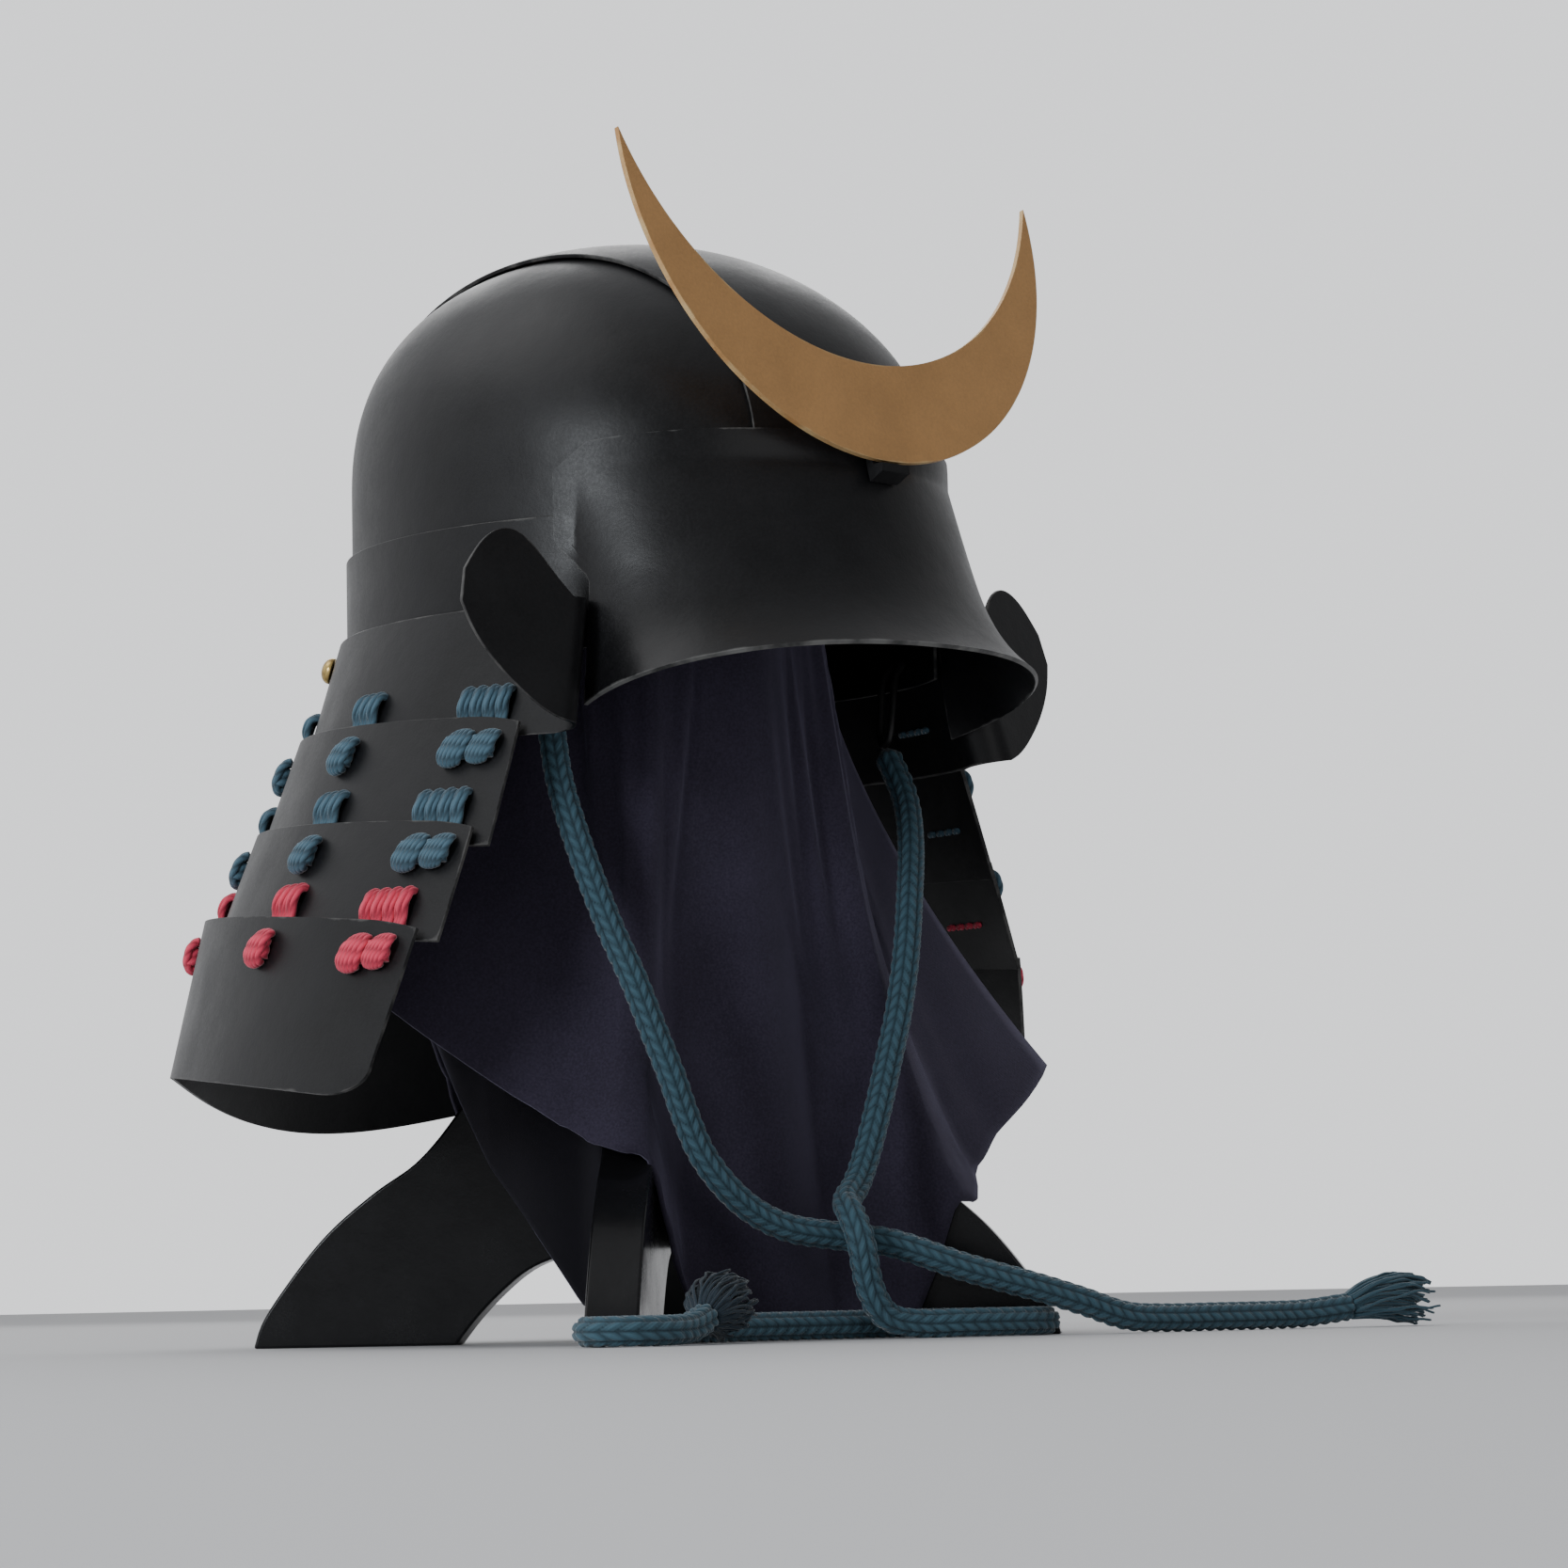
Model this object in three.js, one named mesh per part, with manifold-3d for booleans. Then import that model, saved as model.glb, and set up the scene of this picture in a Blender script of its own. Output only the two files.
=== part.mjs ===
// Kabuto helmet on its stand, with the cloth under it and its chin cord.
// Millimetres, +Z up, floor at z = 0. The helmet faces -Y and its wearer's right is -X.
import * as THREE from 'three';
import Module from 'manifold-3d';

const wasm = await Module();
wasm.setup();
const { Manifold, Mesh } = wasm;

const RAD = Math.PI / 180;

// Sheet and clearances
const PLATE = 1.6;
const GAP = 0.3;
const SEAT = 0.7;
const STEP = PLATE + SEAT;
const CLOTH = 1.6;

// Bowl: an oval with straight walls under its equator and a fuller back
const HALF_WIDTH = 101.5;
const HALF_LENGTH = 118.5;
const CENTRE_Y = 1;
const EQUATOR_Z = 318;
const RISE = 90.6;
const FRONT_POWER = 1.85;
const BACK_POWER = 2.5;

// Centre strip and side plates of the bowl
const STRIP_HALF = 46;
const STRIP_LAP = 12;
const SIDE_BOTTOM_Z = 283;
const STRIP_FRONT_Z = 309;
const STRIP_BACK_Z = 295;

// Brow plate with its peak
const BROW_TOP_Z = 323;
const BROW_TOP_DROP = 5;
const BROW_HALF_ANGLE = 64;
const PEAK_HALF_ANGLE = 56.5;
const PEAK_CUT_TOP_Z = 286;
const PEAK_CUT_BOTTOM_Z = 268;
const PEAK_START_Z = 312;
const PEAK_REACH = 36;
const PEAK_END_ANGLE = 59.5;
const RIM_Z = 240.5;
const RIM_DROP = 16.5;

// Waist band around the sides and back
const BAND_TOP_Z = 294.4;
const BAND_BOTTOM_Z = 246;
const BAND_HALF_ANGLE = 52;

// Neck guard: outer face, measured as growth of the bowl's oval at each height
const LAMES = [
  { top: 263, drop: 0, bottom: 214, dip: 0, grow: 4.9, slope: 0.3, front: [62, 62] },
  { top: 226, drop: 5, bottom: 179, dip: 5, grow: 20.5, slope: 0.36, front: [67, 69] },
  { top: 191, drop: 8, bottom: 149, dip: 9, grow: 36.8, slope: 0.38, front: [71, 73] },
  { top: 159, drop: 12, bottom: 101, dip: 17, grow: 56.6, slope: 0.23, front: [75, 79] },
];
const EAR_TURN_RADIUS = 10;
// Outline of a turned-back ear: distance out from the turn, top height, bottom height
const EAR_OUTLINE = [
  [0, 262, 217], [6, 267, 219], [13, 274, 223], [21, 282, 228.5],
  [30, 286, 235.5], [38, 283.5, 243.5], [44, 277, 250.5], [47, 269, 257.5],
];

// Laces: angle of each column from the front at its three joins, strands, knots
const LACE_COLUMNS = [
  { name: 'front', angles: [74, 77, 81], strands: 3, knots: 2 },
  { name: 'side', angles: [100, 99.5, 100], strands: 2, knots: 1 },
  { name: 'rear', angles: [138, 138, 138], strands: 2, knots: 1 },
];
const LACE_WIDTH = 7.6;
const LACE_THICK = 1.3;
const LACE_LOOP = 10.5;
const LACE_PROUD = 3.8;
const KNOT_DOWN = 11.5;
const KNOT_WIDTH = 10.5;
const KNOT_HEIGHT = 12.5;
const KNOT_PROUD = 6.5;

// Rivets through the first lame and the waist band
const RIVET_ANGLES = [-137, 137, 180];
const RIVET_Z = 254;
const RIVET_HEAD_RADIUS = 5;
const RIVET_SHANK_RADIUS = 2;

// Crescent and its hook
const CRESCENT_SPAN = 106;
const CRESCENT_HEIGHT = 115;
const CRESCENT_BELLY = 38;
const CRESCENT_THICK = 2;
const CRESCENT_FOOT_Z = 313;
const CRESCENT_AHEAD = 9;
const CRESCENT_FOOT_Y = CENTRE_Y - HALF_LENGTH - CRESCENT_AHEAD;
const CRESCENT_LEAN = 14;
const HOOK_WIDTH = 14;
const HOOK_ABOVE = 7;
const HOOK_BELOW = 7;
const HOOK_LIP = 4.5;
const HOOK_LIP_THICK = 3;

// Stand
const PLANK_THICK = 19;
const FOOT_SPAN = 150;
const STAND_TURN = -5;
const PLANK_TOP_Z = 118;
const POST_RADIUS = 14;
const HEAD_BOTTOM_Z = 322;

// Chin cord
const CORD = 10;
const LOOP_WIRE = 1.4;
const RING_Z = 214;
// Route from the wearer's right through the knot to the far right of the front
const CORD_RIGHT = [
  [-87, -40.5, 222.2], [-88, -46, 200], [-87, -52, 182], [-84, -57, 165], [-80, -63, 146], [-75, -69, 128],
  [-69, -73, 109], [-63, -75, 94], [-58, -76, 81], [-52, -78, 67], [-43, -81, 55], [-32, -84, 46],
  [-20, -89, 40], [-3, -96, 37], [12, -109, 34], [34, -124, 25], [60, -137, 17], [76, -143, 12],
  [94, -148, 6.4], [112, -151, 5.3], [136, -155, 5.3], [158, -158, 5.3], [180, -161, 5.6], [200, -166, 7.6],
];
// Route from the wearer's left through the knot, out to the right, back and round to the near foot
const CORD_LEFT = [
  [87, -40.5, 222.2], [85, -52, 203], [77, -62, 186], [64, -73, 163], [54, -80, 141], [46, -83, 119],
  [38, -85, 101], [28, -88, 81], [19, -90, 64], [11, -93, 55], [1.2, -97.7, 49.2], [-5, -106, 44.4],
  [-7.5, -112.4, 36], [-4, -114, 17], [2, -116, 8], [12, -121, 5.3], [26, -129, 5.3], [44, -134, 5.3],
  [58, -135, 5.3], [71, -130, 5.3], [75, -119, 5.3], [69, -109, 5.3], [56, -105, 5.3], [30, -101, 5.3],
  [0, -100, 5.3], [-30, -98, 5.3], [-60, -98, 5.3], [-88, -102.5, 5.3], [-111, -111.5, 5.3],
  [-133, -113, 5.3], [-146, -118, 5.3], [-151, -128, 5.3], [-145, -138, 5.3], [-132, -141, 5.3],
  [-117, -137, 6], [-105, -132.5, 9],
];
const FRAY_RIGHT = [[200.9, -166.2, 7.7], [212, -168.5, 10.5], [226, -171, 11], [240, -173, 8.5]];
const FRAY_LEFT = [[-104.1, -132.1, 9.2], [-98, -128.5, 11.5], [-90, -124.5, 13.2], [-82, -121.5, 13]];
// Share of the frayed length, radius
const FRAY_RIGHT_RADII = [[0, 5], [0.3, 9], [0.65, 10], [1, 7]];
const FRAY_LEFT_RADII = [[0, 5], [0.3, 9.5], [0.65, 12.4], [1, 10.5]];

const group = new THREE.Group();

function add(name, geometry) {
  const mesh = new THREE.Mesh(geometry, new THREE.MeshStandardMaterial());
  mesh.name = name;
  group.add(mesh);
  return mesh;
}

function range(count, start, end) {
  return Array.from({ length: count + 1 }, (_, i) => start + (end - start) * i / count);
}

function lerpTable(table, key, column) {
  if (key <= table[0][0]) return table[0][column];
  for (let i = 1; i < table.length; i++) {
    if (key <= table[i][0]) {
      const t = (key - table[i - 1][0]) / (table[i][0] - table[i - 1][0]);
      return table[i - 1][column] * (1 - t) + table[i][column] * t;
    }
  }
  return table[table.length - 1][column];
}

// Surfaces of the bowl

function power(angle) {
  return FRONT_POWER + (BACK_POWER - FRONT_POWER) * (1 - Math.cos(angle * RAD)) / 2;
}

// Point of the oval at an angle from the front, grown outward by a distance
function ring(angle, z, grow = 0, shrink = 1) {
  const a = angle * RAD;
  const x = (HALF_WIDTH * shrink + grow) * Math.sin(a);
  const y = CENTRE_Y - (HALF_LENGTH * shrink + grow) * Math.cos(a);
  return new THREE.Vector3(x, y, z);
}

// Point of the bowl's bare form at an angle and a height
function bowlAt(angle, z) {
  if (z <= EQUATOR_Z) return ring(angle, z);
  const n = power(angle);
  const h = Math.min((z - EQUATOR_Z) / RISE, 1);
  return ring(angle, z, 0, (1 - h ** n) ** (1 / n));
}

// Point of the bowl's upper form over a place in plan
function bowlOver(x, y) {
  const p = x / HALF_WIDTH;
  const q = (y - CENTRE_Y) / HALF_LENGTH;
  const n = power(Math.atan2(p, -q) / RAD);
  const w = Math.min(Math.hypot(p, q), 1);
  return new THREE.Vector3(x, y, EQUATOR_Z + RISE * (1 - w ** n) ** (1 / n));
}

// A closed body from two grids of points, the outer one seen anticlockwise from outside
function closedGrid(outer, inner) {
  const rows = outer.length;
  const cols = outer[0].length;
  const points = [...outer.flat(), ...inner.flat()];
  const index = [];
  const at = (side, i, j) => side * rows * cols + i * cols + j;
  const quad = (a, b, c, d) => index.push(a, b, c, a, c, d);
  for (let i = 0; i < rows - 1; i++) {
    for (let j = 0; j < cols - 1; j++) {
      quad(at(0, i, j), at(0, i + 1, j), at(0, i + 1, j + 1), at(0, i, j + 1));
      quad(at(1, i, j), at(1, i, j + 1), at(1, i + 1, j + 1), at(1, i + 1, j));
    }
  }
  for (let i = 0; i < rows - 1; i++) {
    quad(at(0, i, 0), at(1, i, 0), at(1, i + 1, 0), at(0, i + 1, 0));
    quad(at(0, i, cols - 1), at(0, i + 1, cols - 1), at(1, i + 1, cols - 1), at(1, i, cols - 1));
  }
  for (let j = 0; j < cols - 1; j++) {
    quad(at(0, 0, j), at(0, 0, j + 1), at(1, 0, j + 1), at(1, 0, j));
    quad(at(0, rows - 1, j), at(1, rows - 1, j), at(1, rows - 1, j + 1), at(0, rows - 1, j + 1));
  }
  return bodyFrom(points, index);
}

function bodyFrom(points, index) {
  const geometry = new THREE.BufferGeometry().setFromPoints(points);
  geometry.setIndex(index);
  if (volume(geometry) < 0) {
    for (let i = 0; i < index.length; i += 3) [index[i], index[i + 1]] = [index[i + 1], index[i]];
    geometry.setIndex(index);
  }
  geometry.computeVertexNormals();
  return geometry;
}

function volume(geometry) {
  const p = geometry.attributes.position;
  const index = geometry.index.array;
  const v = [0, 1, 2].map(() => new THREE.Vector3());
  let sum = 0;
  for (let i = 0; i < index.length; i += 3) {
    v.forEach((w, k) => w.fromBufferAttribute(p, index[i + k]));
    sum += v[0].dot(v[1].clone().cross(v[2])) / 6;
  }
  return sum;
}

// A sheet of even wall: its surface as a function of two numbers, moved out by lift
function sheet(surface, us, vs, lift, wall = PLATE) {
  const outer = [];
  const inner = [];
  const du = Math.max(1e-3, Math.abs(us.at(-1) - us[0]) * 1e-4);
  const dv = Math.max(1e-3, Math.abs(vs.at(-1) - vs[0]) * 1e-4);
  for (const u of us) {
    outer.push([]);
    inner.push([]);
    for (const v of vs) {
      const p = surface(u, v);
      const tu = surface(u + du, v).sub(surface(u - du, v));
      const tv = surface(u, v + dv).sub(surface(u, v - dv));
      const n = tu.cross(tv).normalize();
      if (n.x * p.x + n.y * (p.y - CENTRE_Y) + n.z * (p.z - 200) < 0) n.negate();
      outer.at(-1).push(p.clone().addScaledVector(n, lift));
      inner.at(-1).push(p.clone().addScaledVector(n, lift - wall));
    }
  }
  return closedGrid(outer, inner);
}

// Booleans

function toManifold(geometry) {
  const position = geometry.attributes.position;
  const keys = new Map();
  const verts = [];
  const tris = [];
  const source = geometry.index ? geometry.index.array : [...Array(position.count).keys()];
  const own = [];
  for (let i = 0; i < position.count; i++) {
    const p = [position.getX(i), position.getY(i), position.getZ(i)];
    const key = p.map((c) => Math.round(c * 1e4)).join();
    if (!keys.has(key)) {
      keys.set(key, keys.size);
      verts.push(...p);
    }
    own.push(keys.get(key));
  }
  for (let i = 0; i < source.length; i += 3) {
    const t = [own[source[i]], own[source[i + 1]], own[source[i + 2]]];
    if (t[0] !== t[1] && t[1] !== t[2] && t[0] !== t[2]) tris.push(...t);
  }
  return new Manifold(new Mesh({
    numProp: 3,
    vertProperties: new Float32Array(verts),
    triVerts: new Uint32Array(tris),
  }));
}

function fromManifold(solid) {
  const mesh = solid.getMesh();
  const geometry = new THREE.BufferGeometry();
  geometry.setAttribute('position', new THREE.BufferAttribute(mesh.vertProperties, 3));
  geometry.setIndex(new THREE.BufferAttribute(mesh.triVerts, 1));
  geometry.computeVertexNormals();
  return geometry;
}

// A body through closed outlines in different planes, its two ends capped
function loft(sections, flat) {
  const count = sections[0].length;
  const index = [];
  sections.slice(1).forEach((_, s) => {
    for (let k = 0; k < count; k++) {
      const a = s * count + k;
      const b = s * count + (k + 1) % count;
      index.push(a, b, b + count, a, b + count, a + count);
    }
  });
  const last = (sections.length - 1) * count;
  const turn = Math.sign(THREE.ShapeUtils.area(flat));
  for (const [a, b, c] of THREE.ShapeUtils.triangulateShape(flat, [])) {
    const same = Math.sign(THREE.ShapeUtils.area([flat[a], flat[b], flat[c]])) === turn;
    const [p, q, r] = same ? [a, b, c] : [c, b, a];
    index.push(r, q, p, last + p, last + q, last + r);
  }
  return bodyFrom(sections.flat(), index);
}

// Bowl: two side plates under a centre strip

function sideSurface(side) {
  return (q, t) => {
    const y = CENTRE_Y + HALF_LENGTH * q;
    const n = power(Math.atan2(0.5, -q) / RAD);
    const innerX = STRIP_HALF - STRIP_LAP;
    const ws = Math.hypot(innerX / HALF_WIDTH, q);
    const start = Math.acos(Math.min(ws, 1) ** (n / 2));
    if (t <= 1) {
      const w = Math.cos(start * (1 - t)) ** (2 / n);
      const x = HALF_WIDTH * Math.sqrt(Math.max(w * w - q * q, 0));
      return bowlOver(side * x, y);
    }
    const x = HALF_WIDTH * Math.sqrt(1 - q * q);
    return new THREE.Vector3(side * x, y, EQUATOR_Z - (EQUATOR_Z - SIDE_BOTTOM_Z) * (t - 1));
  };
}

const sideRows = [-0.93, -0.87, -0.78, -0.66, -0.5, -0.3, -0.1, 0.1, 0.3, 0.5, 0.66, 0.78, 0.87, 0.93];
const sideSteps = [0, 0.2, 0.4, 0.58, 0.74, 0.88, 1, 1.5, 2];
for (const [side, name] of [[-1, 'right'], [1, 'left']]) {
  add(`bowl_side_plate_${name}`, sheet(sideSurface(side), sideRows, sideSteps, 0));
}

// The strip runs from under the brow plate over the crown to the waist band
function stripSurface(s, x) {
  const reach = HALF_LENGTH * Math.sqrt(1 - (x / HALF_WIDTH) ** 2);
  if (s > 1) {
    const z = EQUATOR_Z - (EQUATOR_Z - STRIP_BACK_Z) * (s - 1);
    return new THREE.Vector3(x, CENTRE_Y + reach, z);
  }
  if (s < -1) {
    const z = EQUATOR_Z - (EQUATOR_Z - STRIP_FRONT_Z) * (-s - 1);
    return new THREE.Vector3(x, CENTRE_Y - reach, z);
  }
  return bowlOver(x, CENTRE_Y + reach * Math.sin(s * Math.PI / 2));
}

const lapX = STRIP_HALF - STRIP_LAP;
const stripRows = [-2, ...range(22, -1, 1), 2];
add('bowl_top_plate', sheet(stripSurface, stripRows, [-STRIP_HALF, -lapX, -15, 15, lapX, STRIP_HALF], STEP));

// Brow plate and peak in one piece

function browSurface(s, v) {
  const side = Math.abs(s);
  const zTop = BROW_TOP_Z - BROW_TOP_DROP * side ** 4 - 8 * Math.max(0, side - 0.9) / 0.1;
  const rimAngle = PEAK_HALF_ANGLE * side;
  const zRim = RIM_Z - RIM_DROP * (rimAngle / PEAK_HALF_ANGLE) ** 2.6;
  const z = zTop + (zRim - zTop) * v;
  const cut = THREE.MathUtils.smoothstep(z, PEAK_CUT_BOTTOM_Z, PEAK_CUT_TOP_Z);
  const angle = s * (PEAK_HALF_ANGLE + (BROW_HALF_ANGLE - PEAK_HALF_ANGLE) * cut);
  const tau = Math.max(0, (PEAK_START_Z - z) / (PEAK_START_Z - zRim));
  const reach = PEAK_REACH * (1 - (Math.abs(angle) / Math.max(PEAK_END_ANGLE, Math.abs(angle))) ** 5);
  const base = bowlAt(angle, z);
  const out = reach * (0.6 * tau + 0.4 * tau ** 5);
  return base.add(new THREE.Vector3(Math.sin(angle * RAD), -Math.cos(angle * RAD), 0).multiplyScalar(out));
}

const browAcross = [-1, -0.97, -0.93, -0.86, -0.76, -0.65, -0.53, -0.4, -0.27, -0.13, 0];
const browSpan = [...browAcross, ...browAcross.slice(0, -1).map((s) => -s).reverse()];
add('brow_plate', sheet(browSurface, browSpan, [0, 0.12, 0.3, 0.5, 0.68, 0.82, 0.93, 1],
  2 * STEP));

// Waist band: sides and back, over the lower edges of the side plates
const bandAngles = range(32, BAND_HALF_ANGLE, 360 - BAND_HALF_ANGLE);
let waistBand = toManifold(sheet(ring, bandAngles, [BAND_TOP_Z, BAND_BOTTOM_Z], STEP));

// Lames

function lameGrow(lame, z) {
  return lame.grow + lame.slope * (lame.top - z);
}

// How far a lame's edges have dropped, 0 at the rear quarters to 1 at its front ends and back
function sag(lame, angle) {
  const away = Math.abs(angle) - 135;
  if (away > 0) return (1 - Math.cos(Math.min(away / 45, 1) * Math.PI)) / 2;
  return Math.min(-away / (135 - lame.front[0]), 1) ** 1.6;
}

function topEdge(lame, angle) {
  return lame.top - lame.drop * sag(lame, angle);
}

function lameSurface(lame, rounded) {
  return (s, v) => {
    const end = THREE.MathUtils.lerp(lame.front[0], lame.front[1], v);
    const angle = 180 - s * (180 - end);
    const signed = s < 0 ? -(180 - Math.abs(s) * (180 - end)) : angle;
    let top = topEdge(lame, signed);
    let bottom = lame.bottom - lame.dip * sag(lame, signed);
    const near = Math.max(0, Math.abs(s) - 0.93) / 0.07;
    if (rounded) bottom += 12 * (1 - Math.sqrt(1 - Math.min(near, 1) ** 2));
    top -= 2 * near ** 2;
    const z = top + (bottom - top) * v;
    return ring(signed, z, lameGrow(lame, z));
  };
}

const lameSpan = [...range(3, -1, -0.93), ...range(28, -0.88, 0.88), ...range(3, 0.93, 1)];
const lames = LAMES.slice(1).map((lame, i) => (
  toManifold(sheet(lameSurface(lame, i === 2), lameSpan, i === 2 ? [0, 0.55, 1] : [0, 1], 0))
));

// First lame: its front ends turn outward into the two ears
const first = LAMES[0];
const turnLength = EAR_TURN_RADIUS * 119 * RAD;
const earLength = EAR_OUTLINE.at(-1)[0];

function earPath(distance, z, side) {
  const grow = lameGrow(first, z);
  const start = ring(first.front[0] * side, z, grow);
  const out = new THREE.Vector3(side * 0.908, -0.419, 0);
  const ahead = new THREE.Vector3(-side * 0.419, -0.908, 0);
  const centre = start.clone().addScaledVector(out, EAR_TURN_RADIUS);
  const turn = Math.min(distance, turnLength) / EAR_TURN_RADIUS;
  const point = centre.addScaledVector(out, -EAR_TURN_RADIUS * Math.cos(turn))
    .addScaledVector(ahead, EAR_TURN_RADIUS * Math.sin(turn));
  const beyond = Math.max(0, distance - turnLength);
  return point.add(new THREE.Vector3(side * 0.99 * beyond, 0.14 * beyond, 0));
}

function firstLameSurface(s, v) {
  const side = s < 0 ? -1 : 1;
  const along = Math.abs(s);
  if (along <= 1) {
    const angle = side * (180 - along * (180 - first.front[0]));
    const z = first.top + (first.bottom - first.top) * v;
    return ring(angle, z, lameGrow(first, z));
  }
  const distance = along <= 2 ? (along - 1) * turnLength : turnLength + (along - 2) * earLength;
  const e = Math.max(0, distance - turnLength);
  const blend = Math.min(1, distance / turnLength);
  const top = THREE.MathUtils.lerp(first.top, lerpTable(EAR_OUTLINE, e, 1), blend);
  const bottom = THREE.MathUtils.lerp(first.bottom, lerpTable(EAR_OUTLINE, e, 2), blend);
  return earPath(distance, top + (bottom - top) * v, side);
}

// Sheet of the first lame, with the side that faces out carried through the turns
function firstLameBody() {
  const half = [...range(13, 0, 0.96).slice(1), ...range(6, 1, 2),
    ...EAR_OUTLINE.slice(1).map(([e]) => 2 + e / earLength)];
  const us = [...half.map((s) => -s).reverse(), 0, ...half];
  const vs = [0, 0.5, 1];
  const outer = [];
  const inner = [];
  for (const u of us) {
    outer.push([]);
    inner.push([]);
    for (const v of vs) {
      const d = 1e-3;
      const p = firstLameSurface(u, v);
      const tu = firstLameSurface(u + d, v).sub(firstLameSurface(u - d, v));
      const z = new THREE.Vector3(0, 0, 1);
      const flat = new THREE.Vector3(tu.x, tu.y, 0).normalize();
      const n = flat.cross(z);
      const lean = Math.abs(u) <= 1 ? first.slope : 0;
      n.z = lean;
      n.normalize();
      outer.at(-1).push(p);
      inner.at(-1).push(p.clone().addScaledVector(n, PLATE));
    }
  }
  return closedGrid(outer, inner);
}
lames.unshift(toManifold(firstLameBody()));

// Laces: a loop over the upper lame, tucked under the lower one, out through it as knots

function radialPoint(angle, r, z) {
  return ring(angle, z, r);
}

function laceSection(upper, lower, angle) {
  const edge = topEdge(lower, angle);
  const loopTop = edge + LACE_LOOP;
  const tail = edge - KNOT_DOWN - 2.2;
  const up = (z) => lameGrow(upper, z);
  return [
    [up(loopTop) - PLATE - 1.5, loopTop],
    [up(loopTop) + GAP + LACE_PROUD * 0.6, loopTop + 0.6],
    [up(loopTop) + GAP + LACE_PROUD, loopTop - 2.6],
    [up(edge + 4) + GAP + LACE_PROUD, edge + 3.4],
    [up(edge) + GAP + LACE_THICK, edge - 0.8],
    [up(tail) + GAP + LACE_THICK, tail],
    [up(tail) + GAP, tail],
    [up(edge) + GAP, edge],
    [up(loopTop - 4) + GAP, loopTop - 4],
    [up(loopTop - 2.4) + GAP, loopTop - 2.2],
    [up(loopTop - 2.4) - PLATE - 1.5, loopTop - 2.2],
  ];
}

function place(outline, angle) {
  return outline.map(([r, z]) => radialPoint(angle, r, z));
}

function laceLoop(upper, lower, angle, strands) {
  const radius = HALF_WIDTH + 20 + lower.grow;
  const per = LACE_WIDTH / radius / RAD;
  const half = strands / 2 * per;
  const stations = range(strands, -half, half);
  const sections = stations.map((offset) => place(laceSection(upper, lower, angle), angle + offset));
  const flat = laceSection(upper, lower, angle).map(([r, z]) => new THREE.Vector2(r, z));
  return loft(sections, flat);
}

function knotOutline(upper, lower, mid, size) {
  const up = (z) => lameGrow(upper, z);
  const low = (z) => lameGrow(lower, z);
  const neck = 1.4;
  const h = KNOT_HEIGHT / 2 * size;
  const slope = lower.slope;
  const bulb = (dr, dz) => [low(mid) + GAP + dr - slope * dz, mid + dz];
  return [
    [up(mid) + GAP + 0.5, mid + neck],
    bulb(0, neck),
    bulb(0.1, h * 0.8), bulb(KNOT_PROUD * size * 0.6, h), bulb(KNOT_PROUD * size, h * 0.4),
    bulb(KNOT_PROUD * size, -h * 0.5), bulb(KNOT_PROUD * size * 0.55, -h), bulb(0.1, -h * 0.8),
    bulb(0, -neck),
    [up(mid) + GAP + 0.5, mid - neck],
  ];
}

function laceKnot(upper, lower, angle, mid) {
  const half = KNOT_WIDTH / 2 / (HALF_WIDTH + 20 + lower.grow) / RAD;
  const offsets = [-half, -half * 0.5, half * 0.5, half];
  const sizes = [0.72, 1, 1, 0.72];
  const sections = offsets.map((o, k) => place(knotOutline(upper, lower, mid, sizes[k]), angle + o));
  const flat = knotOutline(upper, lower, mid, 1).map(([r, z]) => new THREE.Vector2(r, z));
  return loft(sections, flat);
}

// A block cut square through a lame's wall
function hole(lame, angle, z, width, height) {
  const half = width / 2 / (HALF_WIDTH + 20 + lame.grow) / RAD;
  const outline = [
    [lameGrow(lame, z) - 6, z + height / 2], [lameGrow(lame, z) + 5, z + height / 2],
    [lameGrow(lame, z) + 5, z - height / 2], [lameGrow(lame, z) - 6, z - height / 2],
  ];
  const sections = [-half, half].map((o) => place(outline, angle + o));
  return toManifold(loft(sections, outline.map(([r, zz]) => new THREE.Vector2(r, zz))));
}

function laceBody(i, angle, strands, knots) {
  const upper = LAMES[i];
  const lower = LAMES[i + 1];
  const edge = topEdge(lower, angle);
  const spacing = (KNOT_WIDTH + 0.6) / (HALF_WIDTH + 20 + lower.grow) / RAD;
  const angles = knots === 2 ? [angle - spacing / 2, angle + spacing / 2] : [angle];
  let body = toManifold(laceLoop(upper, lower, angle, strands));
  for (const place of angles) {
    body = body.add(toManifold(laceKnot(upper, lower, place, edge - KNOT_DOWN)));
    lames[i + 1] = lames[i + 1].subtract(hole(lower, place, edge - KNOT_DOWN, KNOT_WIDTH + 0.8, 3.6));
  }
  const slotZ = edge + LACE_LOOP - 0.8;
  lames[i] = lames[i].subtract(hole(upper, angle, slotZ, strands * LACE_WIDTH + 0.8, 4));
  return body;
}

const laceBodies = [];
for (let i = 0; i < 3; i++) {
  for (const { name, angles, strands, knots } of LACE_COLUMNS) {
    for (const [side, sign] of [['right', -1], ['left', 1]]) {
      laceBodies.push([`lace_${i + 1}_${name}_${side}`, laceBody(i, sign * angles[i], strands, knots)]);
    }
  }
  laceBodies.push([`lace_${i + 1}_back`, laceBody(i, 180, 2, 1)]);
}

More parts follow.
